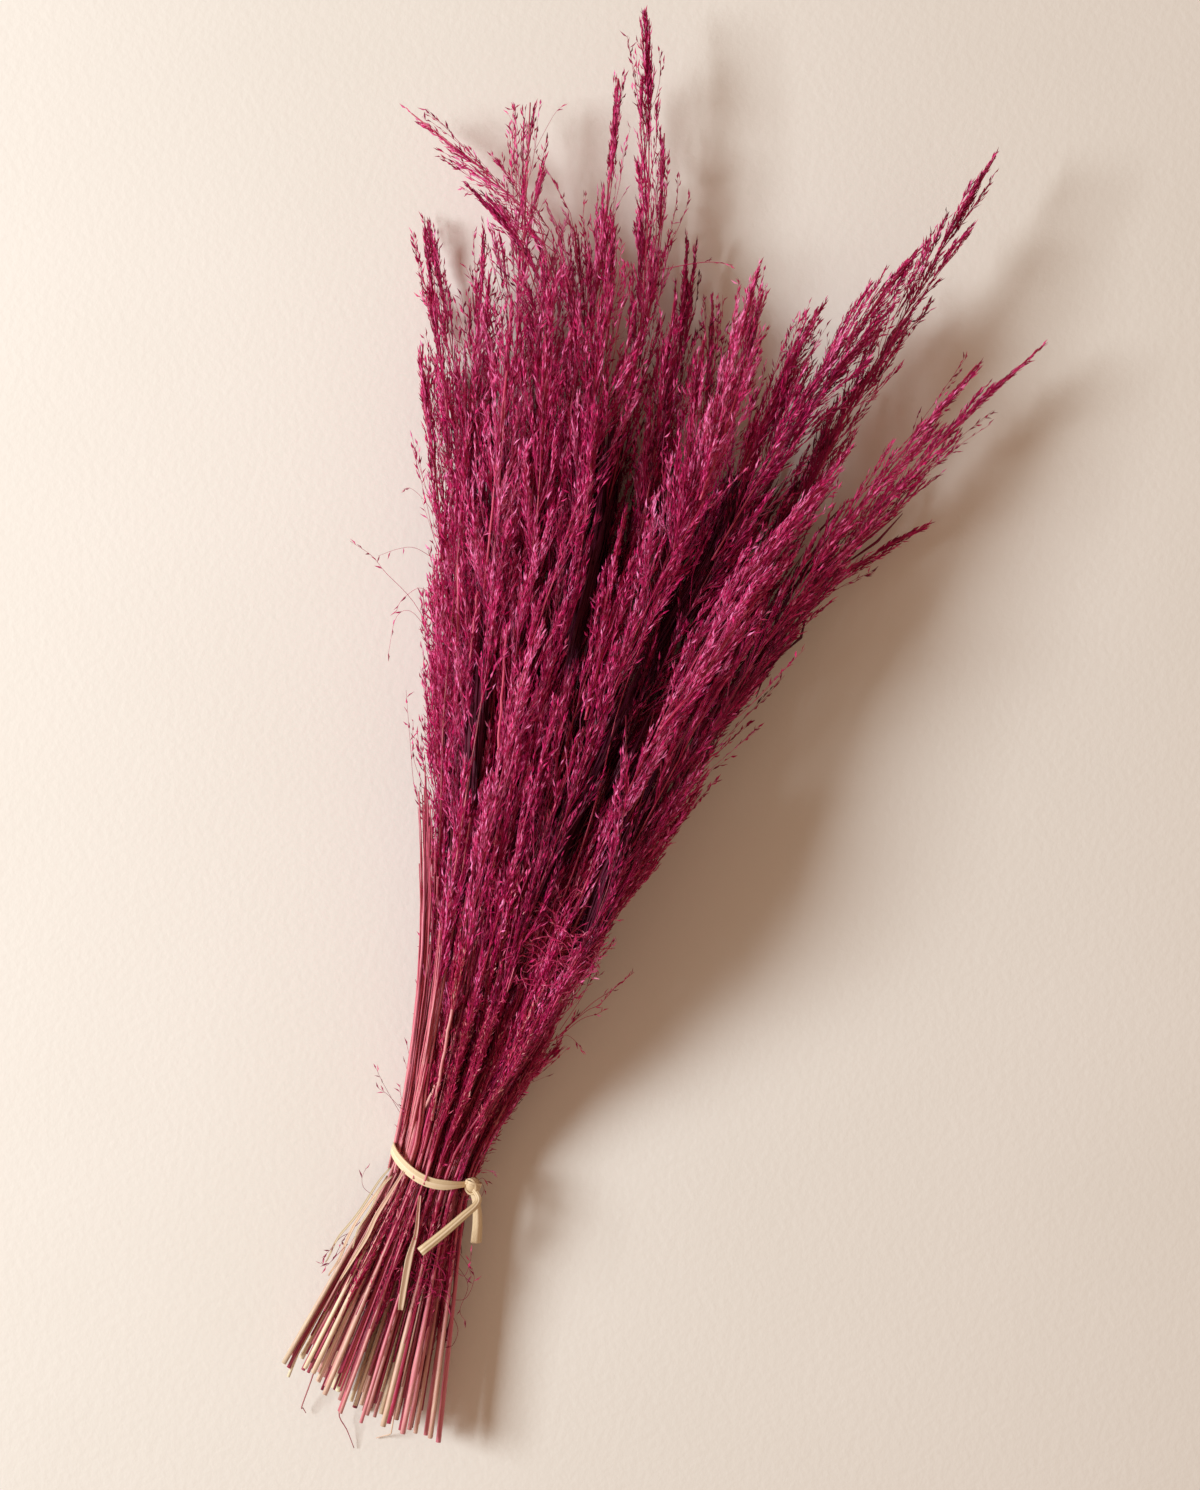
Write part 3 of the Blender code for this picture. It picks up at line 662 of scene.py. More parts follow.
class Pile:
    """The sprays as discs in each cross-section, to find the top of the bundle and what lies buried in it."""

    def __init__(self, runs):
        lowest, highest = min(r.points[0, 1] for r in runs), max(r.points[-1, 1] for r in runs)
        self.ys = np.arange(lowest, highest, RUN_STEP)
        rows = []
        for run in runs:
            s = np.interp(self.ys, run.points[:, 1], run.s)
            present = (self.ys > run.points[0, 1]) & (self.ys < run.points[-1, 1])
            rows.append((*run.beside(self.ys), np.maximum(run.radius(s), CULM_RADIUS) * present))
        self.x, self.z, self.radius = np.array(rows).transpose(1, 0, 2)

    def columns(self, y):
        """The numbers of the cross-sections at some places along the bundle."""
        return np.clip(np.searchsorted(self.ys, y), 0, len(self.ys) - 1)

    def cover(self, points):
        """How many heads hide each point on its most open side."""
        k = self.columns(points[:, 1])
        dx, dz, radius = self.x[:, k] - points[:, 0], self.z[:, k] - points[:, 2], self.radius[:, k]
        least = np.full(len(points), len(self.x))
        for angle in VIEW_ANGLES:
            across, up = math.cos(angle), math.sin(angle)
            ahead = dx * across + dz * up
            beside = abs(dx * up - dz * across)
            hidden = (ahead > HIDES_AHEAD * radius) & (beside < HIDES_BESIDE * radius) & (radius > HIDES_FROM)
            least = np.minimum(least, hidden.sum(axis=0))
        return least

    def top(self, x, y):
        """The height of the uppermost stem or head at a place."""
        k = self.columns(y)
        away = abs(self.x[:, k] - x)
        rise = np.sqrt(np.clip(self.radius[:, k] ** 2 - away ** 2, 0.0, None))
        return float(np.where(away < self.radius[:, k], self.z[:, k] + rise, 0.0).max())

    def near(self, x, y):
        """The height of the axis of the stem or head nearest to a place."""
        k = self.columns(y)
        gap = np.where(self.radius[:, k] > 0.0, abs(self.x[:, k] - x) - self.radius[:, k], 1.0)
        return float(self.z[gap.argmin(), k])

    def rim(self, y, side):
        """The middle and the radius of the outermost stem or head, left for a side of -1 and right for 1."""
        k = self.columns(y)
        out = np.where(self.radius[:, k] > 0.0, side * self.x[:, k] + self.radius[:, k], -1.0).argmax()
        return float(self.x[out, k]), float(self.z[out, k]), float(self.radius[out, k])

    def sides(self, y):
        """The least and the greatest x of the bundle at a place along it."""
        k = self.columns(y)
        here = self.radius[:, k] > 0.0
        return float((self.x - self.radius)[here, k].min()), float((self.x + self.radius)[here, k].max())


def between(first, second, share, low, high, draw, stray):
    """A line that runs between two sprays, from one place along the bundle to another."""
    ys = np.arange(low, high, 0.012)
    lines = [np.stack(run.beside(ys), -1) for run in (first, second)]
    mixed = lines[0] * (1.0 - share) + lines[1] * share
    shift, swing = draw.normal(0.0, stray, 2), draw.normal(0.0, stray, 2)
    mixed = mixed + (shift + swing * np.sin(ys * draw.uniform(8.0, 20.0))[:, None])
    return np.stack([mixed[:, 0], ys, mixed[:, 1]], -1)


def surface_line(pile, share, low, high, draw, stray=0.0004, stiff=False):
    """A line on the top of the bunch that keeps its share of the width, and bends evenly if it is stiff."""
    ys = np.arange(low, high, 0.006)
    xs, zs = [], []
    for y in ys:
        left, right = pile.sides(y)
        x = left + share * (right - left)
        xs.append(x)
        zs.append(pile.top(np.clip(x, left + 0.0012, right - 0.0012), y))
    lines = [evened(values, 7) for values in (xs, zs)]
    if stiff and len(ys) > 6:
        lines = [np.polyval(np.polyfit(ys, values, degree), ys) for values, degree in zip(lines, (3, 2))]
    sway = draw.normal(0.0, stray, (2, len(ys))).cumsum(axis=1) * 0.5
    return np.stack([lines[0] + sway[0], ys, lines[1] + sway[1]], -1)


def stem_dye(s, low, high):
    """How much dye a stem took, by the length from its cut end."""
    return low + (high - low) * smooth((s - DYE_RISE[0]) / DYE_RISE[1])


def culm(shape, run, draw, tint, low, high):
    """The stem of a spray, from its hollow cut end to the fine axis of its head."""
    split = run.head_start + 0.05
    s = np.concatenate([np.linspace(0.0, split, CULM_POINTS[0]),
                        np.linspace(split + 0.012, run.length - 0.002, CULM_POINTS[1])])
    waist = 1.0 - CULM_WAIST * smooth((s - WAIST_FROM) / WAIST_LENGTH)
    radii = CULM_RADIUS * draw.uniform(*CULM_SPREAD) * waist
    radii = radii + (CULM_TOP_RADIUS - radii) * smooth((s / run.length - 0.30) / 0.6)
    knuckle = np.argmin(abs(s - draw.uniform(*KNUCKLE_AT)))
    radii[knuckle] *= KNUCKLE_SWELL
    path = run.at(s)
    away = unit(path[1] - path[0])
    bore = np.stack([path[0] + away * CUT_DEPTH, path[0]])
    # Painted shade: the culm's tint drops where it runs through a dark hollow
    rod(shape, np.concatenate([bore, path]), np.concatenate([[radii[0] * CUT_WALL] * 2, radii]), CULM_SIDES,
        np.concatenate([[tint] * 2, tint - CULM_HOLLOW_PAINTED_SHADE * hollow(path)]),
        np.concatenate([BORE_DYE, stem_dye(s, low, high)]))


def on_paths(paths, rows, share):
    """Points and headings at the given shares of the chosen paths."""
    step = share * (paths.shape[1] - 1)
    before = np.minimum(step.astype(int), paths.shape[1] - 2)
    first, second = paths[rows, before], paths[rows, before + 1]
    return first + (second - first) * (step - before)[:, None], unit(second - first)


def set_spikelets(shape, paths, tint, draw, spacing, start=0.2, splay=0.13, size=1.0, dye=1.0, stout=1.0):
    """Spikelets along the given paths, a spacing apart and turned a little at random."""
    lengths = np.linalg.norm(np.diff(paths, axis=1), axis=2).sum(axis=1)
    each = np.maximum(np.round(lengths * (1.0 - start) / spacing).astype(int), 2)
    rows = np.repeat(np.arange(len(paths)), each)
    order = np.arange(len(rows)) - np.repeat(np.cumsum(each) - each, each)
    share = start + (1.0 - start) * (order + 0.15 + draw.random(len(rows)) * 0.7) / each[rows]
    roots, heading = on_paths(paths, rows, np.minimum(share, 1.0))
    heading = unit(heading + draw.normal(0.0, splay, heading.shape))
    length = draw.uniform(*SPIKELET_LENGTH, len(rows)) * size
    wide = draw.uniform(*SPIKELET_RADIUS, len(rows)) * size * stout
    colour = tint[rows] + draw.normal(0.0, SPIKELET_TINT_SPREAD, len(rows)) + 0.2 * (share - 0.5)
    colour = np.maximum(colour, np.minimum(tint[rows], LEAST_SPIKELET_TINT))
    spikelets(shape, roots, heading, length, wide, colour, np.full(len(rows), dye), draw)


def set_twigs(shape, paths, tint, draw, each, width, spacing, reach=(0.20, 0.42), thick=1.0, splay=0.15,
              dye=1.0, size=1.0, stout=1.0):
    """Twigs within a spindle round each path, pointed at its end, and set with spikelets."""
    rows = np.repeat(np.arange(len(paths)), each)
    begin = draw.uniform(0.04, 0.80, len(rows))
    end = np.minimum(begin + draw.uniform(*reach, len(rows)), 1.0)
    roots, _ = on_paths(paths, rows, begin)
    tips, heading = on_paths(paths, rows, end)
    aside = draw.normal(0.0, 1.0, heading.shape)
    aside = unit(aside - heading * (aside * heading).sum(axis=1)[:, None])
    away = width[rows] * draw.uniform(0.5, 1.1, len(rows)) * np.sin(math.pi * np.clip(end, 0.2, 0.93)) ** 0.7
    twigs = np.stack([roots, tips + aside * away[:, None]], axis=1)
    shade = tint[rows] + draw.normal(0.0, 0.10, len(rows))
    radii = TWIG_RADIUS * thick * np.array([[1.1, 0.6]])
    tubes(shape, twigs, radii, shade + 0.15, dye)
    set_spikelets(shape, twigs, shade, draw, spacing, splay=splay, size=size, dye=dye, stout=stout)


def tuft_paths(run, draw, tip, length, out):
    """Side branches that leave the line low down and end at the given places beside it."""
    climb = np.linspace(0.0, 1.0, TUFT_POINTS)
    begin = np.maximum(tip - length, run.head_start - 0.03)
    turn = draw.uniform(0.0, math.tau, len(tip))[:, None] + draw.normal(0.0, 0.3, len(tip))[:, None] * climb
    paths = run.place(begin[:, None] + (tip - begin)[:, None] * climb, out[:, None] * climb ** 0.6, turn)
    return paths + draw.normal(0.0, 0.0006, paths.shape) * climb[None, :, None]


def wide_reach(run, s, full):
    """How far the head reaches from its line, which it does soon below its tip."""
    onset = smooth((s - run.head_start) / HEAD_ONSET)
    whole = HEAD_REACH * full * smooth((run.length - s) / TIP_LENGTH) * onset
    return np.maximum(np.maximum(run.radius(s), whole if run.length > LONG_SPRAY else 0.0), LEAST_REACH)


def head(shape, run, draw, tone, full, pile, density=1.0, dye=1.0, loose=0.0, size=1.0):
    """The panicle of a spray: tufts round the axis, fewer where other heads hide them, with painted shade
    where hidden or in a hollow and painted light far out.
    """
    s = np.linspace(run.head_start, run.length, HEAD_SAMPLES)
    reach = wide_reach(run, s, full)
    count = LEAST_TUFTS + int(np.sum(2.0 * reach) * (s[1] - s[0]) * TUFTS_PER_AREA * density)
    weight = np.cumsum(reach + 0.003)
    tip = np.interp(draw.random(count), weight / weight[-1], s)
    tip[:len(TIP_TUFTS)] = run.length - TIP_TUFTS
    length = draw.uniform(*TUFT_LENGTH, count)
    near = (wide_reach(run, tip, full) + wide_reach(run, tip - 0.3 * length, full)) / 2.0
    out = near * np.sqrt(draw.uniform(0.04, 1.1, count))
    out[:len(TIP_TUFTS)] *= 0.3
    paths = tuft_paths(run, draw, tip, length, out)
    cover = np.minimum(pile.cover(paths[:, SEEN_POINT]), len(KEPT_BY_COVER) - 1)
    depth = hollow(paths[:, SEEN_POINT])
    open_tip = loose * np.clip(1.0 - (run.length - tip) / OPEN_TIP_LENGTH, 0.0, 1.0)
    chance = KEPT_BY_COVER[cover] * (1.0 - (1.0 - KEPT_IN_HOLLOW) * depth) * (1.0 - 0.3 * open_tip)
    kept = draw.random(count) < chance
    paths, cover, out, depth, tip = paths[kept], cover[kept], out[kept], depth[kept], tip[kept]
    # Painted shade and light: a tuft hidden by other heads or lying in a hollow is darker, and one far out
    # from the axis is paler
    tint = tone + draw.normal(0.0, TUFT_TINT_SPREAD, len(paths)) - COVER_PAINTED_SHADE * cover
    tint = tint + OUTER_PAINTED_LIGHT * (out - OUTER_FROM)
    least = np.where(cover == 0, LEAST_TUFT_TINT * (1.0 - depth), 0.0)
    tint = np.maximum(tint - HOLLOW_PAINTED_SHADE * depth, least)
    branch = TWIG_RADIUS * np.linspace(*BRANCH_TAPER, TUFT_POINTS)[None]
    tubes(shape, paths, branch, tint + 0.1, dye)
    width = draw.uniform(*TUFT_WIDTH, len(paths)) * np.clip(0.30 + (run.length - tip) / 0.08, 0.30, 1.0)
    set_twigs(shape, paths, tint, draw, TWIGS_PER_TUFT, width, SPIKELET_SPACING, dye=dye, size=size)
    set_spikelets(shape, paths, tint, draw, BRANCH_SPACING, start=0.55, size=size, dye=dye)


def side_strands(shape, run, draw, tone, count, full=1.0):
    """Long sparse threads that stand out beyond the head, with a few spikelets spaced along them."""
    tip = run.length + 0.003 - draw.uniform(0.0, 0.75, count) ** 1.2 * (run.length - run.head_start)
    length = draw.uniform(*STRAND_LENGTH, count)
    out = wide_reach(run, tip, full) * draw.uniform(0.7, 1.25, count) + draw.uniform(*STRAND_BEYOND, count)
    paths = tuft_paths(run, draw, tip, length, out)
    paths = paths[hollow(paths[:, SEEN_POINT]) < LEFT_OUT_FROM]
    count = len(paths)
    tint = tone + draw.normal(0.0, 0.10, count)
    tubes(shape, paths, TWIG_RADIUS * np.linspace(*STRAND_TAPER, TUFT_POINTS)[None], tint + 0.1, 1.0)
    set_twigs(shape, paths, tint - 0.08, draw, STRAND_TWIGS, draw.uniform(*STRAND_WIDTH, count),
              STRAND_TWIG_SPACING, thick=0.6, splay=0.3, stout=STOUT)
    set_spikelets(shape, paths, tint - 0.08, draw, STRAND_SPACING, start=0.5, splay=0.3, stout=STOUT)


def ramp(nodes, stops):
    """A colour ramp with the given places and colours."""
    node = nodes.new("ShaderNodeValToRGB")
    band = node.color_ramp
    while len(band.elements) < len(stops):
        band.elements.new(0.5)
    for element, (place, colour) in zip(band.elements, stops):
        element.position = place
        element.color = (*colour, 1.0)
    return node


def new_node(tree, kind, values=(), **settings):
    """A shader node with the given input values, by name or number, and the given settings."""
    node = tree.nodes.new("ShaderNode" + kind)
    for place, value in values:
        node.inputs[place].default_value = value
    for label, value in settings.items():
        setattr(node, label, value)
    return node


def new_material(name, roughness, specular):
    """A material with its roughness and specular level, its node tree and its shader."""
    material = bpy.data.materials.new(name)
    material.use_nodes = True
    shader = material.node_tree.nodes["Principled BSDF"]
    shader.inputs["Roughness"].default_value = roughness
    shader.inputs["Specular IOR Level"].default_value = specular
    return material, material.node_tree, shader


def relief(tree, place, shader, scale, detail, strength, height):
    """Fine grain on the surface, from a noise."""
    grain = new_node(tree, "TexNoise", [("Scale", scale), ("Detail", detail)])
    bump = new_node(tree, "Bump", [("Strength", strength), ("Distance", height)])
    tree.links.new(place, grain.inputs["Vector"])
    tree.links.new(grain.outputs["Fac"], bump.inputs["Height"])
    tree.links.new(bump.outputs["Normal"], shader.inputs["Normal"])


def plant_material(name, by_dye, darkest, palest, roughness, specular, bump, stretch, scale, patch=60.0,
                   drift=0.22):
    """Plant fibre whose colour follows its dye, times that of its tint, from the darkest to the palest."""
    material, tree, shader = new_material(name, roughness, specular)
    place = new_node(tree, "TexCoord")
    stretched = new_node(tree, "Mapping", [("Scale", (1.0, stretch, 1.0))])
    patches = new_node(tree, "TexNoise", [("Scale", patch), ("Detail", 3.0)])
    level = new_node(tree, "Attribute", attribute_name="dye")
    drifted = new_node(tree, "Math", [(1, drift)], operation="MULTIPLY_ADD")
    centred = new_node(tree, "Math", [(1, drift / 2.0)], operation="SUBTRACT")
    dyed = ramp(tree.nodes, by_dye)
    shade = new_node(tree, "Attribute", attribute_name="tint")
    strand = ramp(tree.nodes, [(0.0, darkest), (0.5, (1.0, 1.0, 1.0)), (1.0, palest)])
    mix = new_node(tree, "Mix", data_type="RGBA", blend_type="MULTIPLY")
    mix.inputs["Factor"].default_value = 1.0
    for source, target in ((place.outputs["Object"], stretched.inputs["Vector"]),
                           (stretched.outputs["Vector"], patches.inputs["Vector"]),
                           (patches.outputs["Fac"], drifted.inputs[0]),
                           (level.outputs["Fac"], drifted.inputs[2]),
                           (drifted.outputs[0], centred.inputs[0]),
                           (centred.outputs[0], dyed.inputs["Fac"]),
                           (shade.outputs["Fac"], strand.inputs["Fac"]),
                           (dyed.outputs["Color"], mix.inputs["A"]),
                           (strand.outputs["Color"], mix.inputs["B"]),
                           (mix.outputs["Result"], shader.inputs["Base Color"])):
        tree.links.new(source, target)
    relief(tree, stretched.outputs["Vector"], shader, scale, 2.0, bump, 0.0003)
    return material


def make_floor():
    """A wide sheet of pale paper under the bundle."""
    bpy.ops.mesh.primitive_plane_add(size=FLOOR_SIZE, location=(0.0, 0.0, 0.0))
    floor = bpy.context.object
    floor.name = "floor"
    material, tree, shader = new_material("paper", 0.92, 0.2)
    place = new_node(tree, "TexCoord").outputs["Object"]
    cloud = new_node(tree, "TexNoise", [("Scale", 5.0), ("Detail", 6.0)])
    tree.links.new(place, cloud.inputs["Vector"])
    shade = ramp(tree.nodes, [(0.30, (0.855, 0.805, 0.742)), (0.70, (0.885, 0.835, 0.778))])
    tree.links.new(cloud.outputs["Fac"], shade.inputs["Fac"])
    tree.links.new(shade.outputs["Color"], shader.inputs["Base Color"])
    relief(tree, place, shader, 260.0, 4.0, 0.16, 0.0012)
    floor.data.materials.append(material)


def tie_centre():
    """The middle of the flat stretch of the tie, on the floor."""
    foot = [v.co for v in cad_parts["tie"].data.vertices if v.co.z < 1e-5]
    return sum((Vector(c) for c in foot), Vector()) / len(foot)


def hold(name, data, place, turn):
    """An object that holds a camera or a light."""
    holder = bpy.data.objects.new(name, data)
    holder.location, holder.rotation_euler = place, turn
    bpy.context.scene.collection.objects.link(holder)
    return holder


def make_camera():
    """A camera over the bundle that shows the whole picture's frame at the floor."""
    camera = bpy.data.cameras.new("camera")
    camera.sensor_width = SENSOR_WIDTH
    camera.lens = SENSOR_WIDTH * CAMERA_HEIGHT / (METRES_PER_PX * PICTURE_HEIGHT_PX)
    place, turn = (EYE[0], EYE[1], CAMERA_HEIGHT), (0.0, 0.0, PICTURE_TURN)
    bpy.context.scene.camera = hold("camera", camera, place, turn)


def make_lights():
    """A window low to the left of the picture, and a weak warm fill."""
    right = Vector((math.cos(PICTURE_TURN), math.sin(PICTURE_TURN), 0.0))
    up = Vector((-right.y, right.x, 0.0))
    light = bpy.data.lights.new("window", "AREA")
    light.shape = "RECTANGLE"
    light.size, light.size_y = WINDOW_SIZE, WINDOW_SIZE
    light.energy = WINDOW_POWER
    light.color = WINDOW_COLOUR
    centre = Vector((EYE[0], EYE[1], 0.0))
    level = WINDOW_DISTANCE * math.cos(WINDOW_HEIGHT)
    place = (centre - right * level * math.cos(WINDOW_SIDE) + up * level * math.sin(WINDOW_SIDE)
             + Vector((0.0, 0.0, WINDOW_DISTANCE * math.sin(WINDOW_HEIGHT))))
    hold("window", light, place, (centre - place).to_track_quat("-Z", "Y").to_euler())
    world = bpy.data.worlds.new("fill")
    world.use_nodes = True
    fill = world.node_tree.nodes["Background"]
    fill.inputs["Color"].default_value = FILL_COLOUR
    fill.inputs["Strength"].default_value = FILL_STRENGTH
    bpy.context.scene.world = world


def make_sprays(runs, pile, materials, tie_y):
    """One piece for each spray: its culm, its head and the strands beyond it. Stems on the left are paler."""
    left, right = pile.sides(tie_y + SHARE_ABOVE)
    for number, run in enumerate(runs, 1):
        draw = np.random.default_rng(SEED * 1000 + number)
        shape = Shape()
        # The tone is partly painted shade: heads that lie in shade have a lower one
        tone = TONE_AND_PAINTED_SHADE.get(number, DEFAULT_TONE) + draw.normal(0.0, TONE_SPREAD)
        share = (run.beside(tie_y + SHARE_ABOVE)[0] - left) / (right - left)
        foot = run.at(BURIED_AT)
        buried = smooth((pile.top(foot[0], foot[1]) - foot[2] - BURIED_FROM) / BURIED_DEPTH)
        # Painted shade: a stem buried deep in the pile gets more dye and a lower tint, so it is darker
        low = FOOT_DYE + DYE_BY_SHARE * share + draw.normal(0.0, DYE_SPREAD) + DEPTH_PAINTED_SHADE_DYE * buried
        low = max(np.clip(low, 0.0, 1.0), DYED_STEMS.get(number, 0.0))
        shade = np.clip(STEM_TINT + draw.normal(0.0, STEM_TINT_SPREAD) - DEPTH_PAINTED_SHADE * buried,
                        *STEM_TINT_RANGE)
        culm(shape, run, draw, shade, low, UPPER_DYE + (1.0 - UPPER_DYE) * smooth(share * 2.2))
        loose, full = LOOSE.get(number, DEFAULT_LOOSE), FULL.get(number, DEFAULT_FULL)
        head(shape, run, draw, tone, full, pile, DENSITY.get(number, DEFAULT_DENSITY), loose=loose)
        side_strands(shape, run, draw, tone, LEAST_STRANDS + int(LOOSE_STRANDS * loose), full)
        piece = shape.build(f"grass_{number:02d}", materials)
        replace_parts(piece, f"spray_{number:02d}")


def neighbours(runs, y, draw, reach):
    """Two sprays that pass near each other at the given place along the bundle."""
    here = []
    for run in runs:
        if run.points[0, 1] < y < run.points[-1, 1]:
            here.append((run.beside(y)[0], run))
    here.sort(key=lambda item: item[0])
    x, first = here[draw.integers(0, len(here))]
    near = [run for place, run in here if abs(place - x) < reach and run is not first]
    return first, (near[draw.integers(0, len(near))] if near else first)


def taper(count, size, loss):
    """How far along each of the points of a thin stem lies, and radii that fall off over its upper part."""
    along = np.linspace(0.0, 1.0, count)
    return along, size * (1.0 - loss * smooth((along - 0.4) / 0.6))


def make_filler_culms(runs, materials, tie_y):
    """Thinner stems that fill the bunch between the main ones, and run out in the lower heads."""
    draw = np.random.default_rng(SEED + 1)
    shape = Shape()
    for number in range(FILLER_STEMS):
        low = tie_y - draw.uniform(*FILLER_BELOW)
        high = tie_y + draw.uniform(*FILLER_ABOVE)
        first, second = neighbours(runs, tie_y + 0.02, draw, 0.009)
        points = between(first, second, draw.uniform(0.35, 0.65), low, high, draw, FILLER_STRAY)
        size = draw.uniform(*FILLER_RADIUS)
        along, radii = taper(len(points), size, 0.6)
        bore = points[:1] + (points[1:2] - points[:1]) * 0.3
        pale = number % 3 == 0
        first_dye = draw.uniform(*(PALE_DYES if pale else DARK_DYES))
        # The dark tint of two in three stems between the main ones is partly painted shade for the gaps
        shade = (PALE_TINT if pale else DARK_PAINTED_SHADE_TINT) + draw.normal(0.0, FILLER_TINT_SPREAD)
        shade = min(shade, PALEST_FILLER) if pale else shade
        dye = stem_dye(along * (high - low), first_dye, draw.uniform(0.6, 1.0))
        rod(shape, np.concatenate([bore, points[:1], points]), np.concatenate([[size * CUT_WALL] * 2, radii]),
            THIN_SIDES, shade, np.concatenate([BORE_DYE, dye]))
    shape.build("filler_stems", materials)


def make_surface_stems(pile, materials, tie_y):
    """Thin stems side by side on the top and the left of the bunch, between the tie and the lowest heads."""
    draw = np.random.default_rng(SEED + 4)
    shape = Shape()
    for number in range(SURFACE_STEMS):
        bare = number % 2 == 1
        share = draw.uniform(*(BARE_SHARES if bare else COVERED_SHARES))
        low = tie_y - draw.uniform(*SURFACE_BELOW)
        if bare:
            high = low + 0.02 + BARE_REACH * (1.0 - max(share, 0.0) / 0.30) * draw.uniform(0.8, 1.05)
        else:
            high = low + draw.uniform(*SURFACE_ABOVE)
        points = surface_line(pile, share, low, high, draw, SURFACE_STRAY, stiff=True)
        points[:, 2] -= draw.uniform(*SURFACE_SINK)
        points[:len(UNDER_TIE), 2] -= UNDER_TIE
        along, radii = taper(len(points), draw.uniform(*SURFACE_RADIUS), 0.5)
        dye = draw.uniform(*(BARE_DYES if bare else COVERED_DYES))
        tint = SURFACE_TINT + draw.normal(0.0, SURFACE_TINT_SPREAD)
        rod(shape, points, radii, THIN_SIDES, tint, dye + DYE_GAIN * along)
    shape.build("surface_stems", materials)


def make_lower_heads(pile, materials, tie_y):
    """Short fine heads on the surface low in the bunch, which hide most stems from the tie upwards."""
    draw = np.random.default_rng(SEED + 2)
    shape = Shape()
    for _ in range(LOWER_HEADS):
        rise = draw.random() ** 1.7
        low = tie_y + LOWER_HEAD_START + LOWER_HEAD_SPAN * rise
        high = low + draw.uniform(*LOWER_HEAD_LENGTH)
        points = surface_line(pile, draw.uniform(0.30 - 0.24 * rise, 1.0), low, high, draw)
        points[:, 2] -= draw.uniform(0.0, 0.004)
        run = Run(points, [0.0, 0.03, (high - low) * 0.7, high - low], LOWER_HEAD_REACH)
        run.head_start = 0.012
        tone = 0.38 + draw.normal(0.0, 0.10)
        head(shape, run, draw, tone, 1.0, pile, LOWER_HEAD_DENSITY, dye=draw.uniform(0.6, 1.0),
             size=LOWER_HEAD_SIZE)
    shape.build("lower_heads", materials)


def ribbon(shape, path, facing, widths, thickness, draw, lines, ridge=0.00012, fold=0.0, tint=0.5, dye=0.0):
    """A flat strip with lengthwise fibres, whose upper side looks along facing, folded along its middle."""
    across = unit(np.cross(unit(np.gradient(path, axis=0)), facing))
    normal = np.cross(across, unit(np.gradient(path, axis=0)))
    share = np.linspace(-0.5, 0.5, lines)
    rise = draw.uniform(-1.0, 1.0, lines) * ridge + fold * abs(share) * 2.0
    spread = path[:, None] + across[:, None] * (share * np.asarray(widths)[:, None])[..., None]
    half = thickness / 2.0
    top = spread + normal[:, None] * (rise + half)[:, None]
    under = spread + normal[:, None] * (rise - half)[:, None]
    ring = np.concatenate([top, under[:, ::-1]], axis=1)
    steps, round_count = ring.shape[:2]
    index = np.arange(steps * round_count).reshape(steps, round_count)
    faces = side_faces(index, flipped=True)
    for base, turn in ((index[0], 1), (index[-1], -1)):
        first, second = base[:lines - 1], base[1:lines]
        third, fourth = base[::-1][1:lines], base[::-1][:lines - 1]
        for corners in ((first, fourth, third), (first, third, second)):
            faces.append(np.stack(corners[::turn], -1))
    streaks = np.tile(draw.normal(0.0, 0.20, round_count), (steps, 1))
    streaks = streaks + np.linspace(0.0, 1.0, steps)[:, None] * draw.normal(0.0, 0.15, round_count)
    dyes, tints = [np.broadcast_to(np.asarray(v, float).reshape(-1, 1), ring.shape[:2]) for v in (dye, tint)]
    shape.add(ring, np.concatenate(faces), tints + streaks, dyes, STEM)


def fine(points, count):
    """A smooth line through a few points."""
    points = np.asarray(points, float)
    padded = np.concatenate([2.0 * points[:1] - points[1:2], points, 2.0 * points[-1:] - points[-2:-1]])
    place = np.linspace(0.0, len(points) - 1.0, count)
    k = np.minimum(place.astype(int), len(points) - 2)
    u = (place - k)[:, None]
    a, b, c, d = padded[k], padded[k + 1], padded[k + 2], padded[k + 3]
    return 0.5 * (2.0 * b + (c - a) * u + (2.0 * a - 5.0 * b + 4.0 * c - d) * u ** 2
                  + (3.0 * b - a - 3.0 * c + d) * u ** 3)


def tie_loop():
    """The band of the tie round the neck: its middle line, the way it faces and its widths."""
    flat_turn = TIE_TURN_UP * math.asin(TIE_FLAT / 2.0 / TIE_HALF[0])
    angles = np.linspace(flat_turn - math.pi / 2.0, 3.0 * math.pi / 2.0 - flat_turn, TIE_STEPS)
    half = (TIE_HALF[0] + TIE_THICKNESS / 2.0, TIE_HALF[1] + TIE_THICKNESS / 2.0)
    arc = np.stack([half[0] * np.cos(angles), 0.0 * angles, TIE_MIDDLE + half[1] * np.sin(angles)], -1)
    foot = np.array([[x * TIE_FLAT / 2.0, 0.0, TIE_THICKNESS / 2.0] for x in (-1.0, -0.4, 0.4, 1.0)])
    loop = np.concatenate([arc, foot, arc[:1]])
    outward = np.stack([np.cos(angles), 0.0 * angles, np.sin(angles)], -1)
    facing = np.concatenate([outward, np.tile(-UP, (4, 1)), outward[:1]])
    sag = np.cos(math.pi * np.clip((loop[:, 0] - SAG_MIDDLE) / SAG_WIDTH, -0.5, 0.5))
    sag = sag * smooth((loop[:, 2] - SAG_ABOVE) / SAG_RISE)
    loop[:, 1] = loop[:, 0] * TIE_SLANT - TIE_SAG * sag
    near_knot = smooth((loop[:, 0] - 0.006) / 0.010) * smooth(loop[:, 2] / 0.02)
    return loop, facing, TIE_WIDTH * (TIE_NARROWED + WIDER_IN_SAG * sag - NARROWER_AT_KNOT * near_knot)


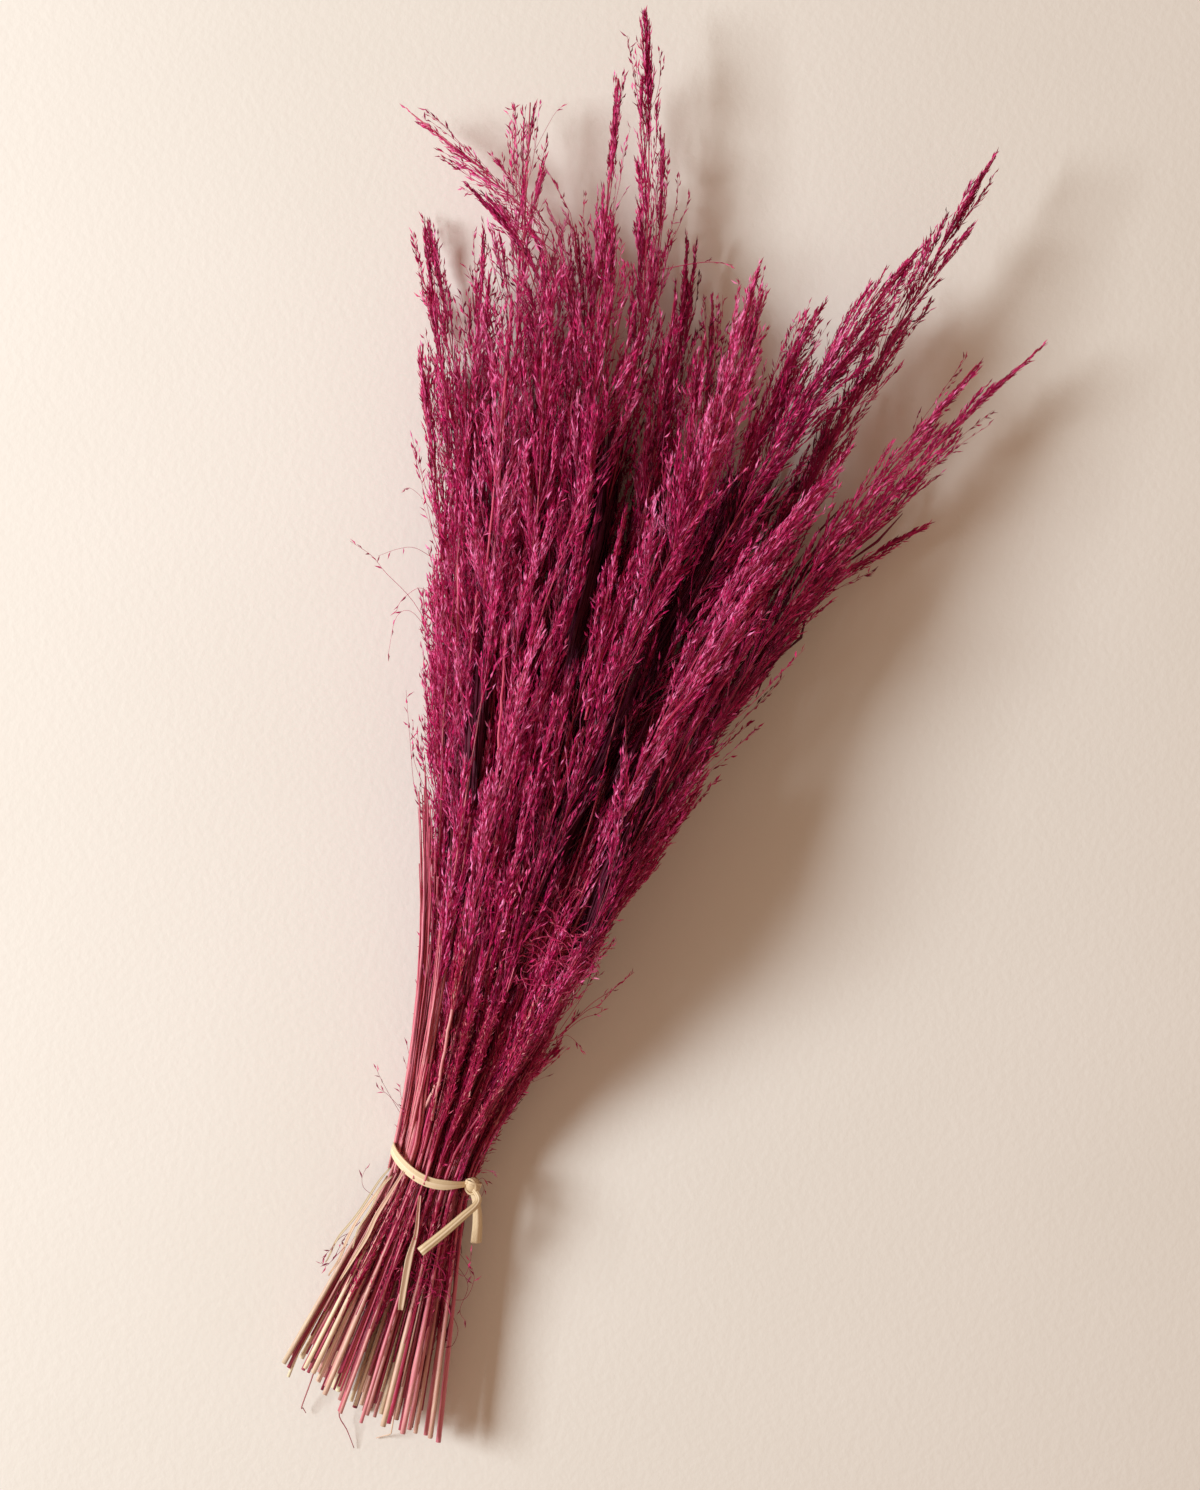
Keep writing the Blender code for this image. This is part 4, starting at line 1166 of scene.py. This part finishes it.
def make_tie(origin, material):
    """The raffia strip: a band round the neck that sags on top, a small knot and two cut tails."""
    draw = np.random.default_rng(SEED + 5)
    shape = Shape()
    loop, facing, widths = tie_loop()
    ribbon(shape, loop + origin, facing, widths, TIE_THICKNESS * 0.8, draw, TIE_FIBRES)
    out = np.array([math.cos(KNOT_ANGLE), 0.0, math.sin(KNOT_ANGLE)])
    round_way = np.array([-out[2], 0.0, out[0]])
    reach = (TIE_HALF[0] + TIE_THICKNESS + KNOT_LIFT, TIE_HALF[1] + TIE_THICKNESS + KNOT_LIFT)
    knot = np.array([reach[0] * out[0], 0.0, TIE_MIDDLE + reach[1] * out[2]])
    knot[1] = knot[0] * TIE_SLANT
    core = np.linspace(-KNOT_LENGTH / 2.0, KNOT_LENGTH / 2.0, len(KNOT_BULGE))[:, None]
    rod(shape, knot + origin + round_way * core, KNOT_BULGE, KNOT_SIDES, KNOT_TINT, KNOT_DYE)
    turns = np.linspace(0.0, math.tau, KNOT_STEPS)
    slanted = unit(np.array([0.0, 1.0, 0.0]) + 0.35 * round_way)
    for first, (long, high, width, shift) in zip((slanted, round_way), KNOT_RINGS):
        ring = first * (np.cos(turns) * long)[:, None] + out * (np.sin(turns) * high)[:, None]
        look = unit(first * (np.cos(turns) * high)[:, None] + out * (np.sin(turns) * long)[:, None])
        side = np.cross(first, out) * shift
        ribbon(shape, ring + side + knot + origin, look, np.full(len(turns), width), KNOT_STRIP, draw,
               KNOT_FIBRES, tint=RING_TINT)
    for points, look, ends, fold in TAILS:
        path = fine(points, TAIL_STEPS)
        widths = np.interp(np.linspace(0.0, 1.0, len(path)), [0.0, 0.25, 0.55, 1.0], ends)
        ribbon(shape, path + origin, unit(np.array([look])), widths, TAIL_THICKNESS, draw, TAIL_FIBRES,
               fold=fold, tint=TAIL_TINT)
    piece = shape.build("raffia_tie", [material])
    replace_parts(piece, "tie")


def node_line(name, count):
    """The middle line of a long node, from its upper end to its lower end."""
    points = np.array([v.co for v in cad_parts[name].data.vertices], float)
    order = np.argsort(-points[:, 1])
    return np.array([points[part].mean(axis=0) for part in np.array_split(order, count)])


def traced(pixels, heights, count):
    """A smooth line through the given pixels at the given heights."""
    return fine([spot(px, py, z) for (px, py), z in zip(pixels, heights)], count)


def make_leaves(material):
    """Two dry leaf blades on the stems below the tie, one narrow and one a wider withered sheath."""
    draw = np.random.default_rng(SEED + 6)
    shape = Shape()
    path = fine(node_line("leaf_front", 6), 38)[4:]
    along = np.linspace(0.0, 1.0, len(path))
    path[:, 0] += 0.0006 * np.sin(along * 5.0)
    path[:, 2] -= 0.0012 * (1.0 - along) ** 3
    ribbon(shape, path, unit(np.array(FRONT_FACING)), np.interp(along, *FRONT_WIDTHS), BLADE_THICKNESS, draw,
           BLADE_FIBRES, fold=BLADE_FOLD, tint=0.55, dye=np.interp(along, *FRONT_DYES))
    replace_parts(shape.build("blade_front", [material]), "leaf_front")
    shape = Shape()
    path = fine(node_line("leaf_left", 6), 34)
    along = np.linspace(0.0, 1.0, len(path))
    widths = SHEATH_WIDTH * np.sin(0.4 + 2.5 * along) ** 0.6
    ribbon(shape, path, unit(np.array(SHEATH_FACING)), widths, BLADE_THICKNESS, draw, BLADE_FIBRES,
           fold=BLADE_FOLD, tint=0.46, dye=0.85 - 0.4 * along)
    for pixels, heights, width, dye in SHEATH_STRIPS:
        path = traced(pixels, heights, 26)
        along = np.linspace(0.0, 1.0, len(path))
        path[:, 0] += 0.0005 * np.sin(along * 11.0 + width * 9000.0)
        widths = width * np.sin(math.pi * (0.14 + 0.80 * along)) ** 0.6
        ribbon(shape, path, unit(np.array(STRIP_FACING)), widths, BLADE_THICKNESS, draw, STRIP_FIBRES,
               fold=STRIP_FOLD, tint=0.5 + draw.normal(0.0, 0.05), dye=dye)
    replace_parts(shape.build("sheath_left", [material]), "leaf_left")


def settled(px, py, z, height):
    """The point at a pixel whose height is what the given function says of its place."""
    for _ in range(3):
        x, y, _ = spot(px, py, z)
        z = height(x, y)
    return spot(px, py, z)


def resting(pile, px, py, lift, least):
    """The point at a pixel on top of the bundle, raised or sunk, and no lower than the least height."""
    return settled(px, py, 0.05, lambda x, y: max(pile.top(x, y) + lift, least))


def make_extra_plumes(pile, materials):
    """Heads of their own that the photograph shows between the main ones, placed by their pixels."""
    draw = np.random.default_rng(SEED + 7)
    for number, (reach, tone, least, pixels) in enumerate(EXTRA_PLUMES, 1):
        shape = Shape()
        points = fine([resting(pile, px, py, -0.45 * reach, least) for px, py in pixels], EXTRA_STEPS)
        run = Run(points, [0.0], [0.0])
        run.reach_at, run.reach = run.length * EXTRA_REACH_AT, reach * EXTRA_REACH
        run.head_start = 0.02
        rod(shape, points, np.linspace(*EXTRA_RADIUS, EXTRA_STEPS), STRAW_SIDES, tone, 0.95)
        head(shape, run, draw, tone, 1.0, pile, EXTRA_DENSITY)
        side_strands(shape, run, draw, tone, EXTRA_STRANDS)
        shape.build(f"plume_{number:02d}", materials)


def thread_line(pile, pixels, draw):
    """A line that starts on what carries it at its first pixel and then rises or sinks a little."""
    points, z = [], 0.04
    for px, py in pixels:
        before = z + draw.uniform(*THREAD_RISE)
        points.append(settled(px, py, z, lambda x, y: max(
            pile.top(x, y) - 0.001, before if points else pile.near(x, y), 0.001)))
        z = points[-1][2]
    return points


def thread(shape, path, radii, tint, core_dye, darker, draw, spacing, **florets):
    """A thread set with small spikelets, whose tint is lower than the thread's by the given step."""
    tubes(shape, path[None], radii[None], tint, core_dye)
    set_spikelets(shape, path[None], np.array([tint - darker]), draw, spacing, **florets)


def curly_thread(shape, start, step, tint, dye, draw):
    """A thread that curls over the surface from its start, in steps of the given length."""
    heading, turn = draw.uniform(1.0, 2.6), draw.normal(0.0, 0.34)
    points = []
    for _ in range(CURL_STEPS):
        points.append(start)
        heading += turn + draw.normal(0.0, 0.15)
        start = start + np.array([math.cos(heading), math.sin(heading), draw.uniform(-0.15, 0.3)]) * step
    thread(shape, fine(points, 14), np.full(14, CURL_RADIUS), tint, dye, 0.04, draw, CURL_SPACING, splay=0.5,
           size=0.85, dye=dye)


def edge_thread(shape, number, pile, draw, tie_y):
    """A short thread with a few spikelets, out from the left edge two times in three, or from the right."""
    outward, climb, long = (-1.0, 1.0, 1.0) if number % 3 else (1.0, 0.2, 0.6)
    y = tie_y + draw.uniform(*EDGE_SPAN) * climb
    x, z, radius = pile.rim(y, outward)
    length = draw.uniform(*EDGE_LENGTH) * long
    start = np.array([x + 0.6 * outward * radius, y, z + draw.normal(0.0, 0.3) * radius])
    way = unit(np.array([outward * draw.uniform(0.15, 0.7), 1.0, draw.normal(0.0, 0.3)]))
    middle = start + way * length * 0.5 + draw.normal(0.0, 0.0008, 3)
    path = fine([start, middle, start + way * length], 5)
    thread(shape, path, np.linspace(*EDGE_RADIUS, 5), 0.5, THREAD_DYE, 0.2, draw, EDGE_SPACING, start=0.4,
           splay=0.5, size=0.9, stout=STOUT)


def make_loose_parts(pile, materials, tie_y):
    """Straws on top, two frizzy tangles, loose threads, wisps at the cut ends and threads on the edges."""
    draw = np.random.default_rng(SEED + 8)
    shape = Shape()
    for first, second, radius, dye, lift in STRAWS:
        ends = [resting(pile, *pixel, lift, 0.01) for pixel in (first, second)]
        path = fine(ends, STRAW_STEPS) + draw.normal(0.0, STRAW_STRAY, (STRAW_STEPS, 3))
        rod(shape, path, radius, STRAW_SIDES, STRAW_TINT, dye)
    for count, middle, half, step, tint, dye in TANGLES:
        for _ in range(count):
            px = middle[0] + draw.uniform(-half[0], half[0])
            py = middle[1] + draw.uniform(-half[1], half[1])
            curly_thread(shape, np.array(resting(pile, px, py, -0.001, 0.01)), step, tint, dye, draw)
    for pixels, radius, spacing in THREADS:
        path = fine(thread_line(pile, pixels, draw), THREAD_STEPS)
        tint = THREAD_TINT[0] if path[0, 1] > tie_y + HEADS_ABOVE else THREAD_TINT[1]
        radii = np.linspace(radius, radius * 0.6, THREAD_STEPS)
        thread(shape, path, radii, tint, THREAD_DYE, 0.08, draw, spacing, start=0.5, splay=0.45, size=0.95,
               stout=1.2)
    for pixels, heights, tint, dye in WISPS:
        path = traced(pixels, heights, 16)
        rod(shape, path, np.linspace(*WISP_RADIUS, len(path)), STRAW_SIDES, tint, dye)
    for number in range(EDGE_THREADS):
        edge_thread(shape, number, pile, draw, tie_y)
    shape.build("loose_parts", materials)


def make_low_fuzz(pile, materials, tie_y):
    """Fine dyed threads and florets between the stems below the tie, and over them on the neck."""
    draw = np.random.default_rng(SEED + 9)
    shape = Shape()
    for number in range(LOW_FUZZ):
        deep = draw.random() ** 1.5
        length = draw.uniform(*LOW_FUZZ_LENGTH)
        if number % 2:
            high = tie_y - 0.004 - (0.025 + 0.050 * deep) * draw.random()
            low = max(high - length, tie_y - LOW_FUZZ_END)
            share, lift = draw.uniform(0.06, 0.94), 0.0002 - 0.008 * deep
        else:
            low = tie_y + 0.003 + 0.05 * draw.random()
            high = low + length
            share, lift = 1.0 - 0.72 * draw.random() ** 0.9, 0.0010 - 0.006 * deep
        points = surface_line(pile, share, low, high, draw, LOW_FUZZ_STRAY)
        points[:, 2] = np.maximum(points[:, 2] + lift, LOW_FUZZ_FOOT)
        path = fine(points, LOW_FUZZ_STEPS)[None]
        radii = np.linspace(*LOW_FUZZ_RADIUS, LOW_FUZZ_STEPS)[None]
        # Painted shade: the deeper a fuzz thread lies in the bunch, the lower its tint
        tubes(shape, path, radii, 0.34 - 0.22 * deep, LOW_FUZZ_DYE)
        set_twigs(shape, path, np.array([0.36 - 0.22 * deep]), draw, LOW_FUZZ_TWIGS,
                  np.array([LOW_FUZZ_WIDTH]), LOW_FUZZ_SPACING, splay=0.3, dye=LOW_FUZZ_DYE, size=0.72)
    shape.build("low_fuzz", materials)


def inner_strand(runs, draw, tie_y):
    """Three points of a strand that runs between two sprays, well below the top of the bunch."""
    y = tie_y + INNER_START + INNER_SPAN * draw.random() ** 0.8
    pair = neighbours(runs, y, draw, 0.024)
    share = draw.random()
    ends = []
    for step in (-0.5, 0.0, 0.5):
        place = y + step * draw.uniform(*INNER_REACH)
        first, second = [np.array(run.beside(place)) for run in pair]
        x, z = first * (1.0 - share) + second * share
        ends.append((x, place, z))
    ends = np.array(ends) + draw.normal(0.0, 0.0022, (3, 3)) * np.array([1.0, 0.3, 1.0])
    ends[:, 2] *= draw.uniform(0.35, 0.85)
    return ends


def hollow_strand(line, width, pile, draw):
    """Three points of a strand along a hollow, sunk deep in it."""
    step = draw.integers(0, len(line) - 1)
    along = line[step + 1] - line[step]
    middle = line[step] + along * draw.random() + draw.normal(0.0, 0.5 * width, 2)
    reach = along / np.linalg.norm(along) * draw.uniform(*HOLLOW_REACH_PX)
    sink = -draw.uniform(*HOLLOW_SINK)
    return [resting(pile, *(middle + reach * share), sink, 0.004) for share in (-1.0, 0.0, 1.0)]


def make_inner_fill(runs, pile, materials, tie_y):
    """Plain branchlets deep inside the bunch, which close the view down to the floor, tinted near black as
    painted shade.
    """
    draw = np.random.default_rng(SEED + 3)
    shape = Shape()
    paths = []
    for _ in range(INNER_STRANDS):
        ends = inner_strand(runs, draw, tie_y)
        if min(pile.top(x, y) - z for x, y, z in ends) > INNER_CLEAR:
            paths.append(ends)
    in_bunch = len(paths)
    deepest = [(np.array(line, float), width) for width, depth, line in HOLLOWS if depth > HOLLOW_FROM]
    for number in range(HOLLOW_STRANDS):
        paths.append(hollow_strand(*deepest[number % len(deepest)], pile, draw))
    # Painted shade: strands inside the bunch are tinted dark, and those in the hollows black
    tint = 0.10 + draw.normal(0.0, 0.06, len(paths))
    tint[in_bunch:] = 0.0
    radii = np.array([[0.3, 1.0, 0.25]]) * draw.uniform(*INNER_RADIUS, (len(paths), 1))
    tubes(shape, np.array(paths), radii, tint, 1.0)
    shape.build("inner_fill", materials)


tie_at = tie_centre()
EYE = (tie_at.x + CAMERA_FROM_TIE[0], tie_at.y + CAMERA_FROM_TIE[1])
make_floor()
make_camera()
make_lights()
bpy.context.scene.view_settings.view_transform = "Standard"

plume = plant_material(
    "dyed_spikelets",
    [(0.0, (0.58, 0.050, 0.075)), (0.5, (0.60, 0.022, 0.095)), (1.0, (0.65, 0.010, 0.145))],
    (0.12, 0.08, 0.12), (1.34, 22.0, 3.3),
    roughness=0.50, specular=0.25, bump=0.15, stretch=1.0, scale=2200.0)
stem = plant_material(
    "dyed_stems",
    [(0.0, (0.84, 0.66, 0.45)), (0.30, (0.74, 0.37, 0.32)), (0.60, (0.68, 0.17, 0.215)),
     (1.0, (0.54, 0.03, 0.10))],
    (0.30, 0.16, 0.22), (1.22, 1.7, 1.7),
    roughness=0.40, specular=0.40, bump=0.4, stretch=0.10, scale=3000.0, patch=700.0, drift=0.42)
raffia = plant_material(
    "raffia",
    [(0.0, (0.80, 0.61, 0.385)), (1.0, (0.70, 0.50, 0.28))],
    (0.58, 0.50, 0.40), (1.15, 1.2, 1.4),
    roughness=0.55, specular=0.3, bump=0.4, stretch=0.1, scale=2500.0)
dry_leaf = plant_material(
    "dry_leaf",
    [(0.0, (0.36, 0.30, 0.15)), (0.4, (0.74, 0.56, 0.38)), (1.0, (0.70, 0.36, 0.30))],
    (0.55, 0.50, 0.42), (1.2, 1.2, 1.3),
    roughness=0.55, specular=0.3, bump=0.4, stretch=0.1, scale=2500.0)

grass = [stem, plume]
sprays = [spray_run(f"spray_{number:02d}") for number in range(1, SPRAY_COUNT + 1)]
bunch = Pile(sprays)
make_sprays(sprays, bunch, grass, tie_at.y)
make_filler_culms(sprays, grass, tie_at.y)
make_surface_stems(bunch, grass, tie_at.y)
make_lower_heads(bunch, grass, tie_at.y)
make_inner_fill(sprays, bunch, grass, tie_at.y)
make_extra_plumes(bunch, grass)
make_loose_parts(bunch, grass, tie_at.y)
make_low_fuzz(bunch, grass, tie_at.y)
make_tie(np.array([tie_at.x, tie_at.y, 0.0]), raffia)
make_leaves(dry_leaf)
